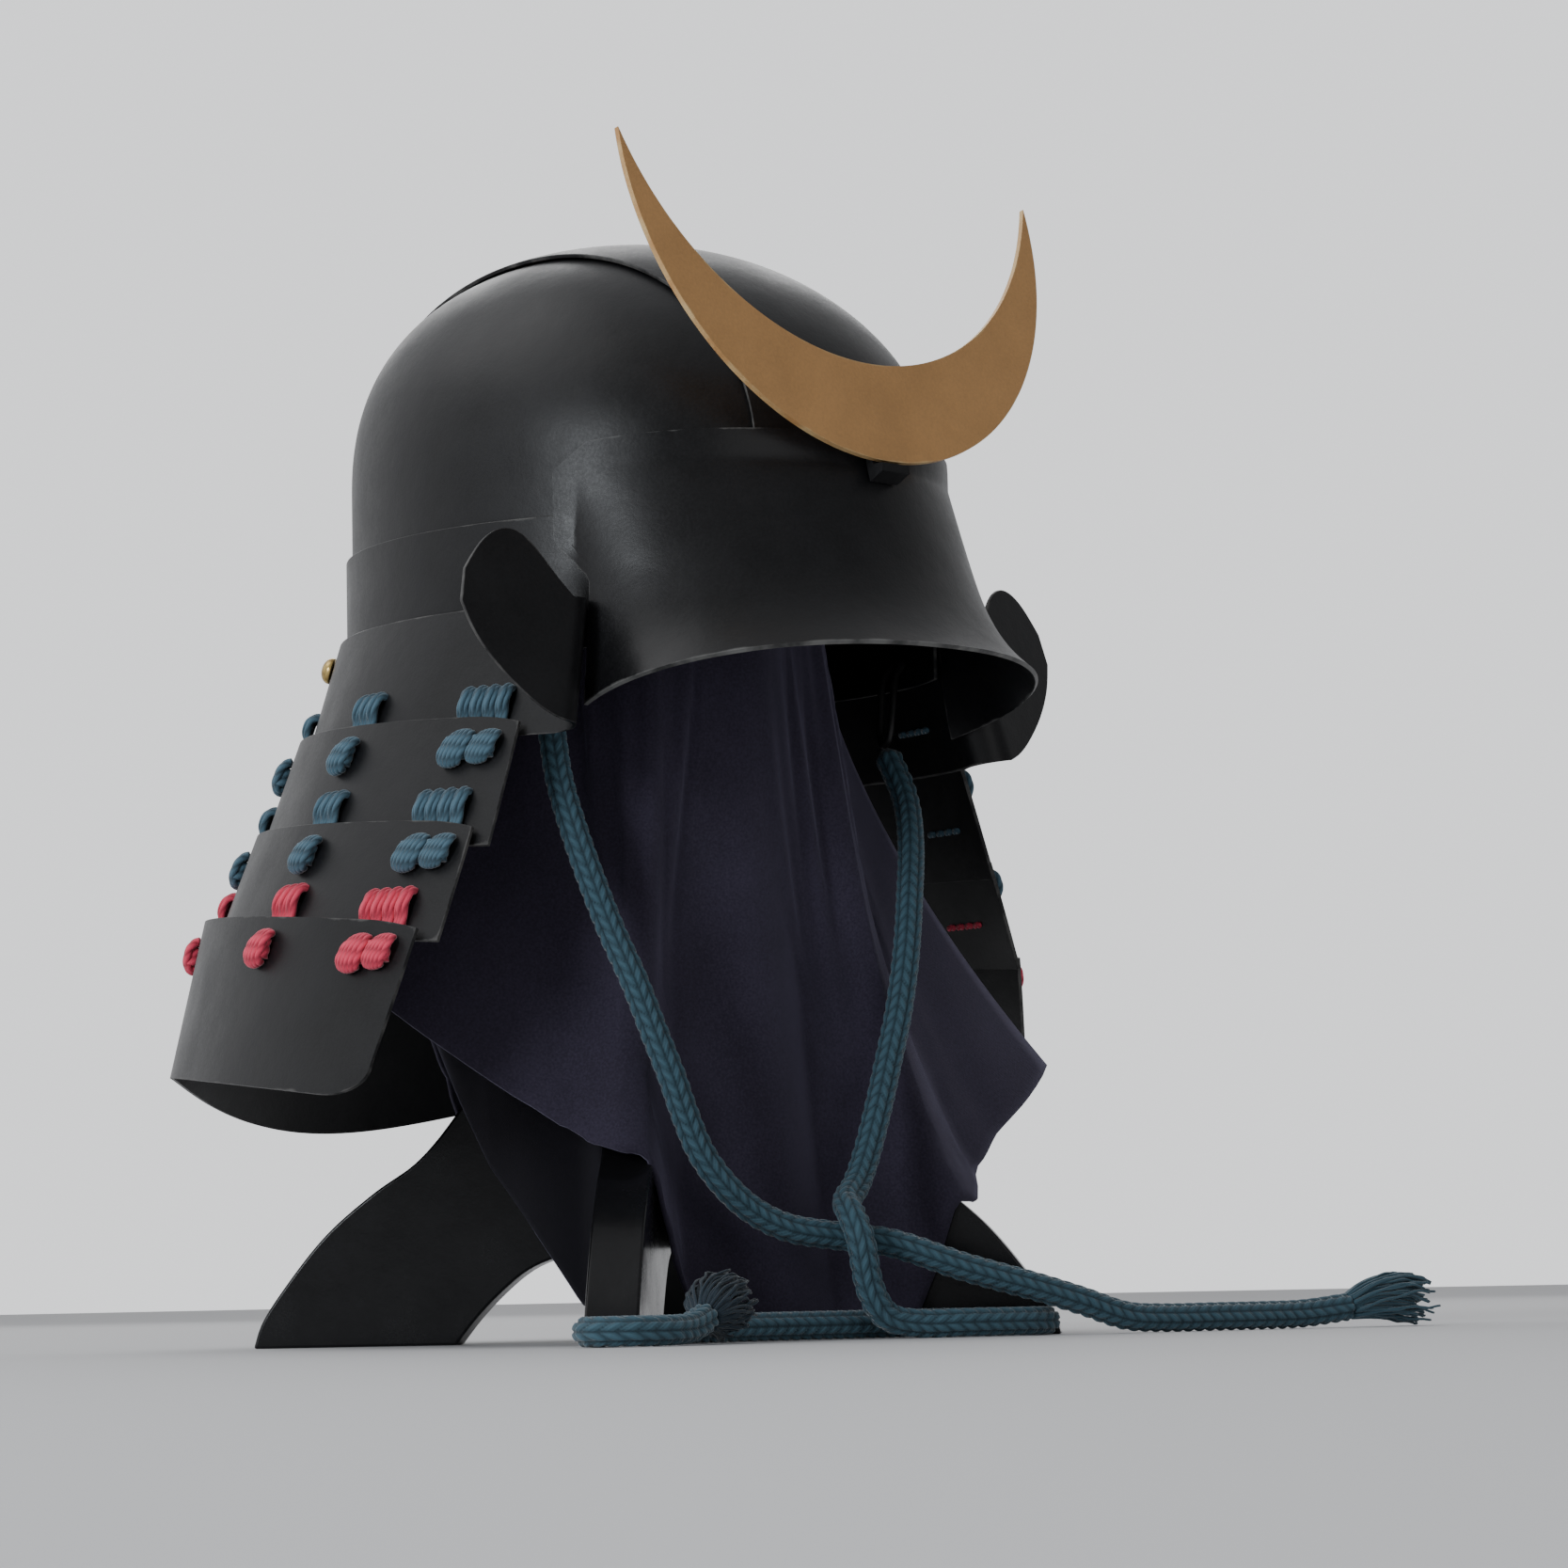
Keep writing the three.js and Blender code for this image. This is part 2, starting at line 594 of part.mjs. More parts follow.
// Rivets
const rivetProfile = [
  [0, -5.6], [RIVET_SHANK_RADIUS, -5.6], [RIVET_SHANK_RADIUS, GAP], [RIVET_HEAD_RADIUS, GAP],
  [RIVET_HEAD_RADIUS * 0.86, 2.4], [RIVET_HEAD_RADIUS * 0.5, 4.2], [0, 4.9],
].map(([r, y]) => new THREE.Vector2(r, y));
for (const [k, angle] of RIVET_ANGLES.entries()) {
  const seat = ring(angle, RIVET_Z, lameGrow(first, RIVET_Z));
  const ahead = ring(angle, RIVET_Z, lameGrow(first, RIVET_Z) + 10).sub(seat).normalize();
  ahead.z = first.slope;
  ahead.normalize();
  const turn = new THREE.Quaternion().setFromUnitVectors(new THREE.Vector3(0, 1, 0), ahead);
  const rivet = new THREE.LatheGeometry(rivetProfile, 12).applyQuaternion(turn);
  rivet.translate(seat.x, seat.y, seat.z);
  const bore = new THREE.CylinderGeometry(RIVET_SHANK_RADIUS + GAP, RIVET_SHANK_RADIUS + GAP, 16, 12)
    .applyQuaternion(turn);
  bore.translate(seat.x, seat.y, seat.z);
  lames[0] = lames[0].subtract(toManifold(bore));
  waistBand = waistBand.subtract(toManifold(bore));
  add(['rivet_right', 'rivet_left', 'rivet_back'][k], fromManifold(toManifold(rivet)));
}

add('waist_band', fromManifold(waistBand));
lames.forEach((lame, i) => add(`neck_lame_${i + 1}`, fromManifold(lame)));
for (const [name, body] of laceBodies) add(name, fromManifold(body));

// Crescent: a disc's lower half with a larger disc taken out of its top

function arcPoints(radius, centreZ, halfWidth, count) {
  const limit = Math.asin(Math.min(1, halfWidth / radius));
  return range(count, -limit, limit).map((a) => [radius * Math.sin(a), centreZ - radius * Math.cos(a)]);
}

const outerRadius = (CRESCENT_SPAN ** 2 + CRESCENT_HEIGHT ** 2) / (2 * CRESCENT_HEIGHT);
const rest = CRESCENT_HEIGHT - CRESCENT_BELLY;
const innerRadius = (CRESCENT_SPAN ** 2 + rest ** 2) / (2 * rest);
const outerArc = range(36, -1, 1).map((t) => {
  const a = t * (Math.PI / 2 + Math.asin((CRESCENT_HEIGHT - outerRadius) / outerRadius));
  return [outerRadius * Math.sin(a), outerRadius - outerRadius * Math.cos(a)];
});
const innerArc = arcPoints(innerRadius, CRESCENT_BELLY + innerRadius, CRESCENT_SPAN - 1.4, 30);
const crescentShape = new THREE.Shape([...outerArc, ...innerArc.reverse()].map(([x, z]) => new THREE.Vector2(x, z)));
const crescent = new THREE.ExtrudeGeometry(crescentShape, { depth: CRESCENT_THICK, bevelEnabled: false });
crescent.rotateX(Math.PI / 2 - CRESCENT_LEAN * RAD);
crescent.translate(0, CRESCENT_FOOT_Y, CRESCENT_FOOT_Z);
add('crescent', fromManifold(toManifold(crescent)));

// Hook on the brow plate: it backs the crescent's foot and turns out under it
const leanTan = Math.tan(CRESCENT_LEAN * RAD);
const crescentBack = (z) => CRESCENT_FOOT_Y + GAP + (z - CRESCENT_FOOT_Z) * leanTan;
const browRange = RIM_Z - BROW_TOP_Z;
const browFace = (z) => browSurface(0, (z - BROW_TOP_Z) / browRange).y - 2 * STEP - GAP - 0.5;
const lipTop = CRESCENT_FOOT_Z - CRESCENT_THICK * leanTan - GAP;
const hookTop = CRESCENT_FOOT_Z + HOOK_ABOVE;
const hookBottom = CRESCENT_FOOT_Z - HOOK_BELOW;
const hookShape = new THREE.Shape([
  [browFace(hookTop), hookTop], [browFace(CRESCENT_FOOT_Z), CRESCENT_FOOT_Z],
  [browFace(hookBottom), hookBottom], [CRESCENT_FOOT_Y - HOOK_LIP, lipTop - HOOK_LIP_THICK],
  [CRESCENT_FOOT_Y - HOOK_LIP, lipTop], [crescentBack(lipTop), lipTop], [crescentBack(hookTop), hookTop],
].map(([y, z]) => new THREE.Vector2(y, z)));
const hook = new THREE.ExtrudeGeometry(hookShape, { depth: HOOK_WIDTH, bevelEnabled: false });
hook.applyMatrix4(new THREE.Matrix4().set(0, 0, 1, -HOOK_WIDTH / 2, 1, 0, 0, 0, 0, 1, 0, 0, 0, 0, 0, 1));
add('crescent_hook', fromManifold(toManifold(hook)));

// Stand: two planks halved into each other on the diagonals, a post and a rounded head

function plankShape(slotFromTop) {
  const half = [
    [FOOT_SPAN, 0], [FOOT_SPAN - 3, 9], [FOOT_SPAN - 13, 24], [FOOT_SPAN - 28, 42], [FOOT_SPAN - 46, 57],
    [FOOT_SPAN - 62, 68], [FOOT_SPAN - 76, 84], [FOOT_SPAN - 86, 100], [FOOT_SPAN - 92, PLANK_TOP_Z],
  ];
  const arch = [[74, 0], [66, 10], [56, 20], [47, 27], [38, 31], [24, 34]];
  const slot = PLANK_THICK / 2 + GAP;
  const middle = 76;
  const right = slotFromTop
    ? [...half, [slot, PLANK_TOP_Z], [slot, middle - GAP / 2]]
    : [...half];
  const under = slotFromTop ? [...arch].reverse() : [[slot, middle + GAP / 2], [slot, 34.5], ...[...arch].reverse()];
  const loop = [...right, ...right.map(([x, z]) => [-x, z]).reverse(),
    ...under.map(([x, z]) => [-x, z]).reverse(), ...under];
  return new THREE.Shape(loop.map(([x, z]) => new THREE.Vector2(x, z)));
}

for (const [name, turn, fromTop] of [['stand_plank_a', 45, true], ['stand_plank_b', -45, false]]) {
  const plank = new THREE.ExtrudeGeometry(plankShape(fromTop), { depth: PLANK_THICK, bevelEnabled: false });
  plank.translate(0, 0, -PLANK_THICK / 2);
  plank.rotateX(Math.PI / 2);
  plank.rotateZ((turn + STAND_TURN) * RAD);
  add(name, fromManifold(toManifold(plank)));
}

const post = new THREE.CylinderGeometry(POST_RADIUS, POST_RADIUS, HEAD_BOTTOM_Z - PLANK_TOP_Z - 2 * GAP, 24);
post.rotateX(Math.PI / 2);
post.translate(0, 0, (HEAD_BOTTOM_Z + PLANK_TOP_Z) / 2);
add('stand_post', post);

// Profile of the cloth's outer face over the head, radius and height
const headTop = EQUATOR_Z + RISE - 0.4;
const CLOTH_CROWN = [
  [0, headTop], [12, headTop - 1], [24, headTop - 4], [35, headTop - 9], [45, headTop - 16.5],
  [53, headTop - 26], [59, headTop - 37], [62, headTop - 50],
];
const headProfile = CLOTH_CROWN.map(([r, z]) => {
  const scale = Math.max(0, r - (CLOTH + GAP + 0.8) * Math.min(1, r / 50));
  return new THREE.Vector2(scale, z - (CLOTH + GAP + 0.4));
}).reverse();
const head = new THREE.LatheGeometry([new THREE.Vector2(0, HEAD_BOTTOM_Z), new THREE.Vector2(44, HEAD_BOTTOM_Z),
  new THREE.Vector2(53, HEAD_BOTTOM_Z + 9), ...headProfile], 22);
head.rotateX(Math.PI / 2);
add('stand_head', fromManifold(toManifold(head)));

// Cloth: a square laid over the head, hanging to a hem that rests on the planks
// Angle from the front, radius and height of the hem
const HEM = [
  [-180, 84, 60], [-165, 84, 75], [-150, 86, 100], [-135, 94, 121], [-115, 118, 131], [-97, 133, 132],
  [-84, 118, 108], [-74, 110, 91], [-65, 106, 78], [-58, 106, 71], [-50, 106, 68], [-44.5, 101, 67],
  [-42.5, 98, 55], [-39, 88, 36], [-34, 82, 14], [-27, 81, 6], [-14, 80, 5], [0, 82, 5], [14, 84, 5],
  [25, 95, 5], [30, 105, 8], [33, 118, 49], [40, 125, 48], [48, 128, 60], [56, 140, 78], [62, 156, 92],
  [67, 170, 105], [72, 150, 116], [78, 125, 124], [92, 112, 128], [110, 104, 112], [130, 101, 92],
  [145, 91, 72], [163, 84, 60], [180, 84, 60],
];
const NECK_Z = headTop - 50;
const CLOTH_WAIST = 60;
const CLOTH_FLARE = 2.1;

function clothSurface(angle, s) {
  const a = angle * RAD;
  const hemR = lerpTable(HEM, angle, 1);
  const hemZ = lerpTable(HEM, angle, 2);
  let r = lerpTable(CLOTH_CROWN.map(([cr, cz], i) => [i, cr, cz]), s, 1);
  let z = lerpTable(CLOTH_CROWN.map(([cr, cz], i) => [i, cr, cz]), s, 2);
  const hang = s - (CLOTH_CROWN.length - 1);
  if (hang > 0) {
    z = NECK_Z + (hemZ - NECK_Z) * hang;
    const waist = CLOTH_WAIST + 2 * Math.max(0, 1 - hang * 5);
    r = waist + (hemR - waist) * hang ** CLOTH_FLARE;
  }
  return new THREE.Vector3(r * Math.sin(a), -r * Math.cos(a), z);
}

function clothBody() {
  const angles = HEM.slice(0, -1).map(([a]) => a);
  const steps = [1.5, 3, 4, 5, 6, 7, 7.25, 7.5, 7.75, 8];
  const outer = angles.map((a) => steps.map((s) => clothSurface(a, s)));
  const inner = outer.map((row, i) => row.map((p, j) => {
    const before = outer[(i + outer.length - 1) % outer.length][j];
    const after = outer[(i + 1) % outer.length][j];
    const down = row[Math.min(j + 1, row.length - 1)].clone().sub(row[Math.max(j - 1, 0)]);
    const normal = after.clone().sub(before).cross(down).normalize();
    if (normal.x * p.x + normal.y * p.y + normal.z * 20 < 0) normal.negate();
    return p.clone().addScaledVector(normal, -CLOTH);
  }));
  const crown = new THREE.Vector3(0, 0, headTop);
  const points = [...outer.flat(), ...inner.flat(), crown, crown.clone().setZ(headTop - CLOTH)];
  const rows = outer.length;
  const cols = steps.length;
  const at = (side, i, j) => side * rows * cols + (i % rows) * cols + j;
  const index = [];
  for (let i = 0; i < rows; i++) {
    for (let j = 0; j < cols - 1; j++) {
      index.push(at(0, i, j), at(0, i, j + 1), at(0, i + 1, j + 1), at(0, i, j), at(0, i + 1, j + 1),
        at(0, i + 1, j));
      index.push(at(1, i, j), at(1, i + 1, j + 1), at(1, i, j + 1), at(1, i, j), at(1, i + 1, j),
        at(1, i + 1, j + 1));
    }
    const hem = cols - 1;
    index.push(at(0, i, hem), at(1, i, hem), at(1, i + 1, hem), at(0, i, hem), at(1, i + 1, hem),
      at(0, i + 1, hem));
    index.push(2 * rows * cols, at(0, i, 0), at(0, i + 1, 0));
    index.push(2 * rows * cols + 1, at(1, i + 1, 0), at(1, i, 0));
  }
  return bodyFrom(points, index);
}
add('stand_cloth', clothBody());

// Round bodies along a curve: chin cord and the loops it is tied to

function tube(points, radii, steps, sides) {
  const curve = new THREE.CatmullRomCurve3(points.map((p) => new THREE.Vector3(...p)), false, 'centripetal');
  const frames = curve.computeFrenetFrames(steps, false);
  const sections = range(steps, 0, 1).map((t, i) => {
    const centre = curve.getPointAt(t);
    const radius = typeof radii === 'number' ? radii : lerpTable(radii, t, 1);
    return range(sides, 0, 2 * Math.PI).slice(0, sides).map((a) => centre.clone()
      .addScaledVector(frames.normals[i], radius * Math.cos(a))
      .addScaledVector(frames.binormals[i], radius * Math.sin(a)));
  });
  const flat = range(sides, 0, 2 * Math.PI).slice(0, sides)
    .map((a) => new THREE.Vector2(Math.cos(a), Math.sin(a)));
  return loft(sections, flat);
}

for (const [side, name] of [[-1, 'right'], [1, 'left']]) {
  const seat = ring(side * 68, 0, -GAP - LOOP_WIRE);
  const along = ring(side * 69, 0).sub(ring(side * 67, 0)).normalize();
  const inward = new THREE.Vector3(-seat.x, -seat.y, 0).normalize();
  const route = [[-5, 0, 256], [-5, 3.6, 250], [-5, 5, 238], [-4, 6, 228], [0, 6.4, RING_Z + 10],
    [4, 6, 228], [5, 5, 238], [5, 3.6, 250], [5, 0, 256]];
  const points = route.map(([u, v, z]) => {
    const p = seat.clone().addScaledVector(along, u).addScaledVector(inward, v);
    return [p.x, p.y, z];
  });
  add(`cord_loop_${name}`, fromManifold(toManifold(tube(points, LOOP_WIRE, 14, 6))));
}

add('cord_right', fromManifold(toManifold(tube(CORD_RIGHT, CORD / 2, 28, 8))));
add('cord_left', fromManifold(toManifold(tube(CORD_LEFT, CORD / 2, 46, 8))));
add('cord_fray_right', fromManifold(toManifold(tube(FRAY_RIGHT, FRAY_RIGHT_RADII, 5, 8))));
add('cord_fray_left', fromManifold(toManifold(tube(FRAY_LEFT, FRAY_LEFT_RADII, 5, 8))));

// Origin under the middle of everything but the cord
const box = new THREE.Box3();
for (const mesh of group.children) {
  if (!mesh.name.startsWith('cord_')) box.expandByObject(mesh);
}
const shiftY = -(box.min.y + box.max.y) / 2;
for (const mesh of group.children) mesh.geometry.translate(0, shiftY, 0);
group.userData.shiftY = shiftY;

export default group;
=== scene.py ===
# Kabuto helmet on its stand: black lacquered plates, a bronze crescent, laced neck guard,
# a dark cloth under the bowl and a braided chin cord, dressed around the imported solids.
import math

import bpy
import numpy as np
from mathutils import Matrix, Vector


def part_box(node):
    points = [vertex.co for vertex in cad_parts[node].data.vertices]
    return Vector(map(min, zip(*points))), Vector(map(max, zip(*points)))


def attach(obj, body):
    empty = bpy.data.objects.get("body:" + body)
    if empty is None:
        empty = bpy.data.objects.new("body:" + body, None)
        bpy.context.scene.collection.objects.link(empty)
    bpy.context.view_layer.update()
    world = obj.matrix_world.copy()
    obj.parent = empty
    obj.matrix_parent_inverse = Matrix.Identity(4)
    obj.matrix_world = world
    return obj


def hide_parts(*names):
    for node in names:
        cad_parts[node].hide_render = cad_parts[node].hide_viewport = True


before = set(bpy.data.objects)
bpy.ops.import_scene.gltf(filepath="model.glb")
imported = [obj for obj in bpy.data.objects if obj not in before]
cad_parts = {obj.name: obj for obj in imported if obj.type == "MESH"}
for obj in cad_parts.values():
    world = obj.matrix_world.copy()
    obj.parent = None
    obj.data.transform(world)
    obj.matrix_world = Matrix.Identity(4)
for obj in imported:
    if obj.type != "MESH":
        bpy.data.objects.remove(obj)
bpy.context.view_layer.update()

# Camera: where the photograph was taken from, 1.9 m off at the near right quarter, lifted
# from just under the shelf's top to just over the floor. Sizes in this file are millimetres
# from the stand's post, and in_frame turns them into the frame's metres.
post_low, post_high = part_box("stand_post")
STAND_AXIS_Y = (post_low[1] + post_high[1]) / 2


def in_frame(points):
    return np.asarray(points, dtype=float) * 0.001 + np.array([0.0, STAND_AXIS_Y, 0.0])


CAMERA_PLACE = (-1306.3, -1359.2, 17.0)
CAMERA_TARGET = (37.0, -35.0, 207.0)
CAMERA_ROLL = math.radians(-1.113)
PHOTO_FOCAL = 2898.7
VIEW_WIDTH = 900.0
SENSOR = 36.0
NEAREST_SEEN = 0.05

camera = bpy.data.objects.new("camera", bpy.data.cameras.new("camera"))
bpy.context.scene.collection.objects.link(camera)
camera.data.sensor_width = SENSOR
camera.data.lens = SENSOR * PHOTO_FOCAL / VIEW_WIDTH
camera.data.clip_start = NEAREST_SEEN
look = (Vector(CAMERA_TARGET) - Vector(CAMERA_PLACE)).normalized()
level = look.cross(Vector((0, 0, 1))).normalized()
upright = level.cross(look)
across = level * math.cos(CAMERA_ROLL) + upright * math.sin(CAMERA_ROLL)
upward = upright * math.cos(CAMERA_ROLL) - level * math.sin(CAMERA_ROLL)
turn = Matrix((across, upward, -look)).transposed().to_4x4()
camera.matrix_world = Matrix.Translation(Vector(in_frame(CAMERA_PLACE))) @ turn
bpy.context.scene.camera = camera

# Floor, walls and light: a pale sweep in a bright pale room that rims the black lacquer. A large
# soft window stands high on the left and a smaller one leaves the patch on the brow; a weak fill
# in front and a window behind open up the shadows.
FLOOR_HALF = 9.0
FLOOR_COLOUR = (0.62, 0.62, 0.63, 1)
FLOOR_ROUGHNESS = 0.75
floor_mesh = bpy.data.meshes.new("floor")
floor_corners = [(-FLOOR_HALF, -FLOOR_HALF, 0), (FLOOR_HALF, -FLOOR_HALF, 0),
                 (FLOOR_HALF, FLOOR_HALF, 0), (-FLOOR_HALF, FLOOR_HALF, 0)]
floor_mesh.from_pydata(floor_corners, [], [(0, 1, 2, 3)])
floor = bpy.data.objects.new("floor", floor_mesh)
bpy.context.scene.collection.objects.link(floor)
floor_material = bpy.data.materials.new("pale_floor")
floor_material.use_nodes = True
floor_shader = floor_material.node_tree.nodes["Principled BSDF"]
floor_shader.inputs["Base Color"].default_value = FLOOR_COLOUR
floor_shader.inputs["Roughness"].default_value = FLOOR_ROUGHNESS
floor_mesh.materials.append(floor_material)

# The room is brightest towards one wall, and evenly bright where the camera sees it
ROOM_COLOUR = (0.90, 0.91, 0.93, 1)
BRIGHT_WALL = (-0.10, 0.97, 0.22)
WALL_STRENGTHS = {"From Min": -0.6, "From Max": 0.9, "To Min": 0.19, "To Max": 1.0}
BACKDROP_STRENGTH = 1.40
world = bpy.data.worlds.new("room")
bpy.context.scene.world = world
world.use_nodes = True
room = world.node_tree.nodes["Background"]
room.inputs["Color"].default_value = ROOM_COLOUR
heading = world.node_tree.nodes.new("ShaderNodeTexCoord")
towards = world.node_tree.nodes.new("ShaderNodeVectorMath")
towards.operation = "DOT_PRODUCT"
towards.inputs[1].default_value = BRIGHT_WALL
walls = world.node_tree.nodes.new("ShaderNodeMapRange")
for key, value in WALL_STRENGTHS.items():
    walls.inputs[key].default_value = value
seen = world.node_tree.nodes.new("ShaderNodeLightPath")
backdrop = world.node_tree.nodes.new("ShaderNodeMix")
backdrop.inputs["B"].default_value = BACKDROP_STRENGTH
for source, target in ((heading.outputs["Generated"], towards.inputs[0]),
                       (towards.outputs["Value"], walls.inputs["Value"]),
                       (walls.outputs[0], backdrop.inputs["A"]),
                       (seen.outputs["Is Camera Ray"], backdrop.inputs["Factor"]),
                       (backdrop.outputs["Result"], room.inputs["Strength"])):
    world.node_tree.links.new(source, target)


def soft_light(name, place, target, size, power, colour=(1.0, 1.0, 1.0)):
    """One soft window that faces its target; lengths are metres and power is watts."""
    data = bpy.data.lights.new(name, "AREA")
    data.shape = "RECTANGLE"
    data.size, data.size_y = size
    data.energy = power
    data.color = colour
    light = bpy.data.objects.new(name, data)
    bpy.context.scene.collection.objects.link(light)
    light.location = place
    aim = Vector(target) - Vector(place)
    light.rotation_euler = aim.to_track_quat("-Z", "Y").to_euler()


soft_light("high_window", place=(-1.1, 0.9, 2.4), target=(0, 0, 0.3), size=(2.2, 1.6), power=12)
soft_light("brow_window", place=(-2.62, -0.42, 0.88), target=(-0.09, -0.09, 0.28), size=(0.6, 0.8),
           power=27, colour=(0.90, 0.95, 1.0))
soft_light("front_fill", place=(-0.6, -2.6, 0.8), target=(0, -0.05, 0.15), size=(1.6, 1.2), power=5)
soft_light("rear_window", place=(1.6, 1.8, 1.7), target=(0, 0, 0.3), size=(1.6, 1.2), power=14)


# Bowl: two side plates of hammered iron sheet under a centre strip, black lacquered. The
# plates are drawn out finer than the solids that they stand for, with their edges rounded.
PLATE = 1.6
SEAT = 0.7
STEP = PLATE + SEAT
HALF_WIDTH = 101.5
HALF_LENGTH = 118.5
CENTRE_Y = 1.0
EQUATOR_Z = 318.0
RISE = 90.6
FRONT_POWER = 1.85
BACK_POWER = 2.5
STRIP_HALF = 46.0
STRIP_LAP = 12.0
SIDE_BOTTOM_Z = 283.0
STRIP_FRONT_Z = 309.0
STRIP_BACK_Z = 295.0
BOWL_HEART_Z = 200.0


def power(angle):
    """How square the bowl's section is: rounder at the front, fuller behind."""
    return FRONT_POWER + (BACK_POWER - FRONT_POWER) * (1 - math.cos(math.radians(angle))) / 2


def oval(angle, z, grow=0.0, shrink=1.0):
    """A point at an angle from the front on the bowl's oval, grown outward by a distance."""
    a = math.radians(angle)
    return np.array([(HALF_WIDTH * shrink + grow) * math.sin(a),
                     CENTRE_Y - (HALF_LENGTH * shrink + grow) * math.cos(a), z])


def bowl_at(angle, z):
    """A point of the bowl at an angle from the front and a height."""
    if z <= EQUATOR_Z:
        return oval(angle, z)
    n = power(angle)
    return oval(angle, z, 0, (1 - min((z - EQUATOR_Z) / RISE, 1) ** n) ** (1 / n))


def bowl_over(x, y):
    """The point of the bowl straight above a place on its plan."""
    p, q = x / HALF_WIDTH, (y - CENTRE_Y) / HALF_LENGTH
    n = power(math.degrees(math.atan2(p, -q)))
    w = min(math.hypot(p, q), 1)
    return np.array([x, y, EQUATOR_Z + RISE * (1 - w ** n) ** (1 / n)])


def side_surface(side):
    """A side plate, from under the strip out to the widest line and then straight down."""
    def surface(q, t):
        y = CENTRE_Y + HALF_LENGTH * q
        n = power(math.degrees(math.atan2(0.5, -q)))
        reach = math.hypot((STRIP_HALF - STRIP_LAP) / HALF_WIDTH, q)
        start = math.acos(min(reach, 1) ** (n / 2))
        if t <= 1:
            w = math.cos(start * (1 - t)) ** (2 / n)
            return bowl_over(side * HALF_WIDTH * math.sqrt(max(w * w - q * q, 0)), y)
        x = HALF_WIDTH * math.sqrt(1 - q * q)
        return np.array([side * x, y, EQUATOR_Z - (EQUATOR_Z - SIDE_BOTTOM_Z) * (t - 1)])
    return surface


def strip_surface(s, x):
    """The centre strip, front to back over the crown, with a straight skirt at either end."""
    reach = HALF_LENGTH * math.sqrt(1 - (x / HALF_WIDTH) ** 2)
    if s > 1:
        return np.array([x, CENTRE_Y + reach, EQUATOR_Z - (EQUATOR_Z - STRIP_BACK_Z) * (s - 1)])
    if s < -1:
        return np.array([x, CENTRE_Y - reach, EQUATOR_Z - (EQUATOR_Z - STRIP_FRONT_Z) * (-s - 1)])
    return bowl_over(x, CENTRE_Y + reach * math.sin(s * math.pi / 2))


def border_distance(grid):
    """How far each point of a grid lies from the nearest of its four borders."""
    nearest = None
    for axis in (0, 1):
        steps = np.linalg.norm(np.diff(grid, axis=axis), axis=-1)
        pad = np.zeros_like(np.take(steps, [0], axis=axis))
        there = np.concatenate([pad, np.cumsum(steps, axis=axis)], axis=axis)
        total = np.take(there, [-1], axis=axis)
        nearer = np.minimum(there, total - there)
        nearest = nearer if nearest is None else np.minimum(nearest, nearer)
    return nearest


def plate_grids(surface, us, vs, lift, wall):
    """Outer and inner faces of a sheet whose base form is a function of two numbers."""
    du = max(1e-3, abs(us[-1] - us[0]) * 1e-4)
    dv = max(1e-3, abs(vs[-1] - vs[0]) * 1e-4)
    outer = np.zeros((len(us), len(vs), 3))
    normals = np.zeros_like(outer)
    for i, u in enumerate(us):
        for j, v in enumerate(vs):
            p = surface(u, v)
            n = np.cross(surface(u + du, v) - surface(u - du, v),
                         surface(u, v + dv) - surface(u, v - dv))
            n /= np.linalg.norm(n) or 1
            if n[0] * p[0] + n[1] * (p[1] - CENTRE_Y) + n[2] * (p[2] - BOWL_HEART_Z) < 0:
                n = -n
            outer[i, j] = p + n * lift
            normals[i, j] = n
    return outer, outer - normals * wall


def closed_sheet(outer, inner):
    """Points and faces of a closed sheet between two grids, wound to face out."""
    rows, cols = outer.shape[:2]
    points = np.concatenate([outer.reshape(-1, 3), inner.reshape(-1, 3)])
    back = rows * cols
    faces = []
    for i in range(rows - 1):
        for j in range(cols - 1):
            a = i * cols + j
            faces.append((a, a + cols, a + cols + 1, a + 1))
            faces.append((back + a, back + a + 1, back + a + cols + 1, back + a + cols))
    for i in range(rows - 1):
        for j, flip in ((0, False), (cols - 1, True)):
            a = i * cols + j
            rim = (a, back + a, back + a + cols, a + cols)
            faces.append(rim[::-1] if flip else rim)
    for j in range(cols - 1):
        for i, flip in ((0, False), (rows - 1, True)):
            a = i * cols + j
            rim = (a, a + 1, back + a + 1, back + a)
            faces.append(rim[::-1] if flip else rim)
    a, b, c = (points[k] for k in faces[(rows // 2 * (cols - 1) + cols // 2) * 2][:3])
    middle = outer[rows // 2, cols // 2] - inner[rows // 2, cols // 2]
    if np.cross(b - a, c - a) @ middle < 0:
        faces = [face[::-1] for face in faces]
    return points, faces


def round_edges(piece, width, segments=2):
    """Rounds every sharp edge of a piece by a width in millimetres."""
    bevel = piece.modifiers.new("rounded_edges", "BEVEL")
    bevel.width = width * 0.001
    bevel.segments = segments
    bevel.limit_method = "ANGLE"
    bevel.angle_limit = math.radians(50)
    bevel.harden_normals = True


def new_piece(name, points, faces, material, slot, *nodes, shading=None):
    """A smooth-shaded piece in the frame; shading maps attribute names to point values."""
    mesh = bpy.data.meshes.new(name)
    mesh.from_pydata(in_frame(points).tolist(), [], faces)
    for key, values in (shading or {}).items():
        layer = mesh.attributes.new(key, "FLOAT", "POINT")
        layer.data.foreach_set("value", np.asarray(values, dtype=np.float32).ravel())
    mesh.polygons.foreach_set("use_smooth", [True] * len(mesh.polygons))
    mesh.materials.append(material)
    mesh.update()
    piece = bpy.data.objects.new(name, mesh)
    bpy.context.scene.collection.objects.link(piece)
    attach(piece, "root")
    if nodes:
        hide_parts(*nodes)
    return piece


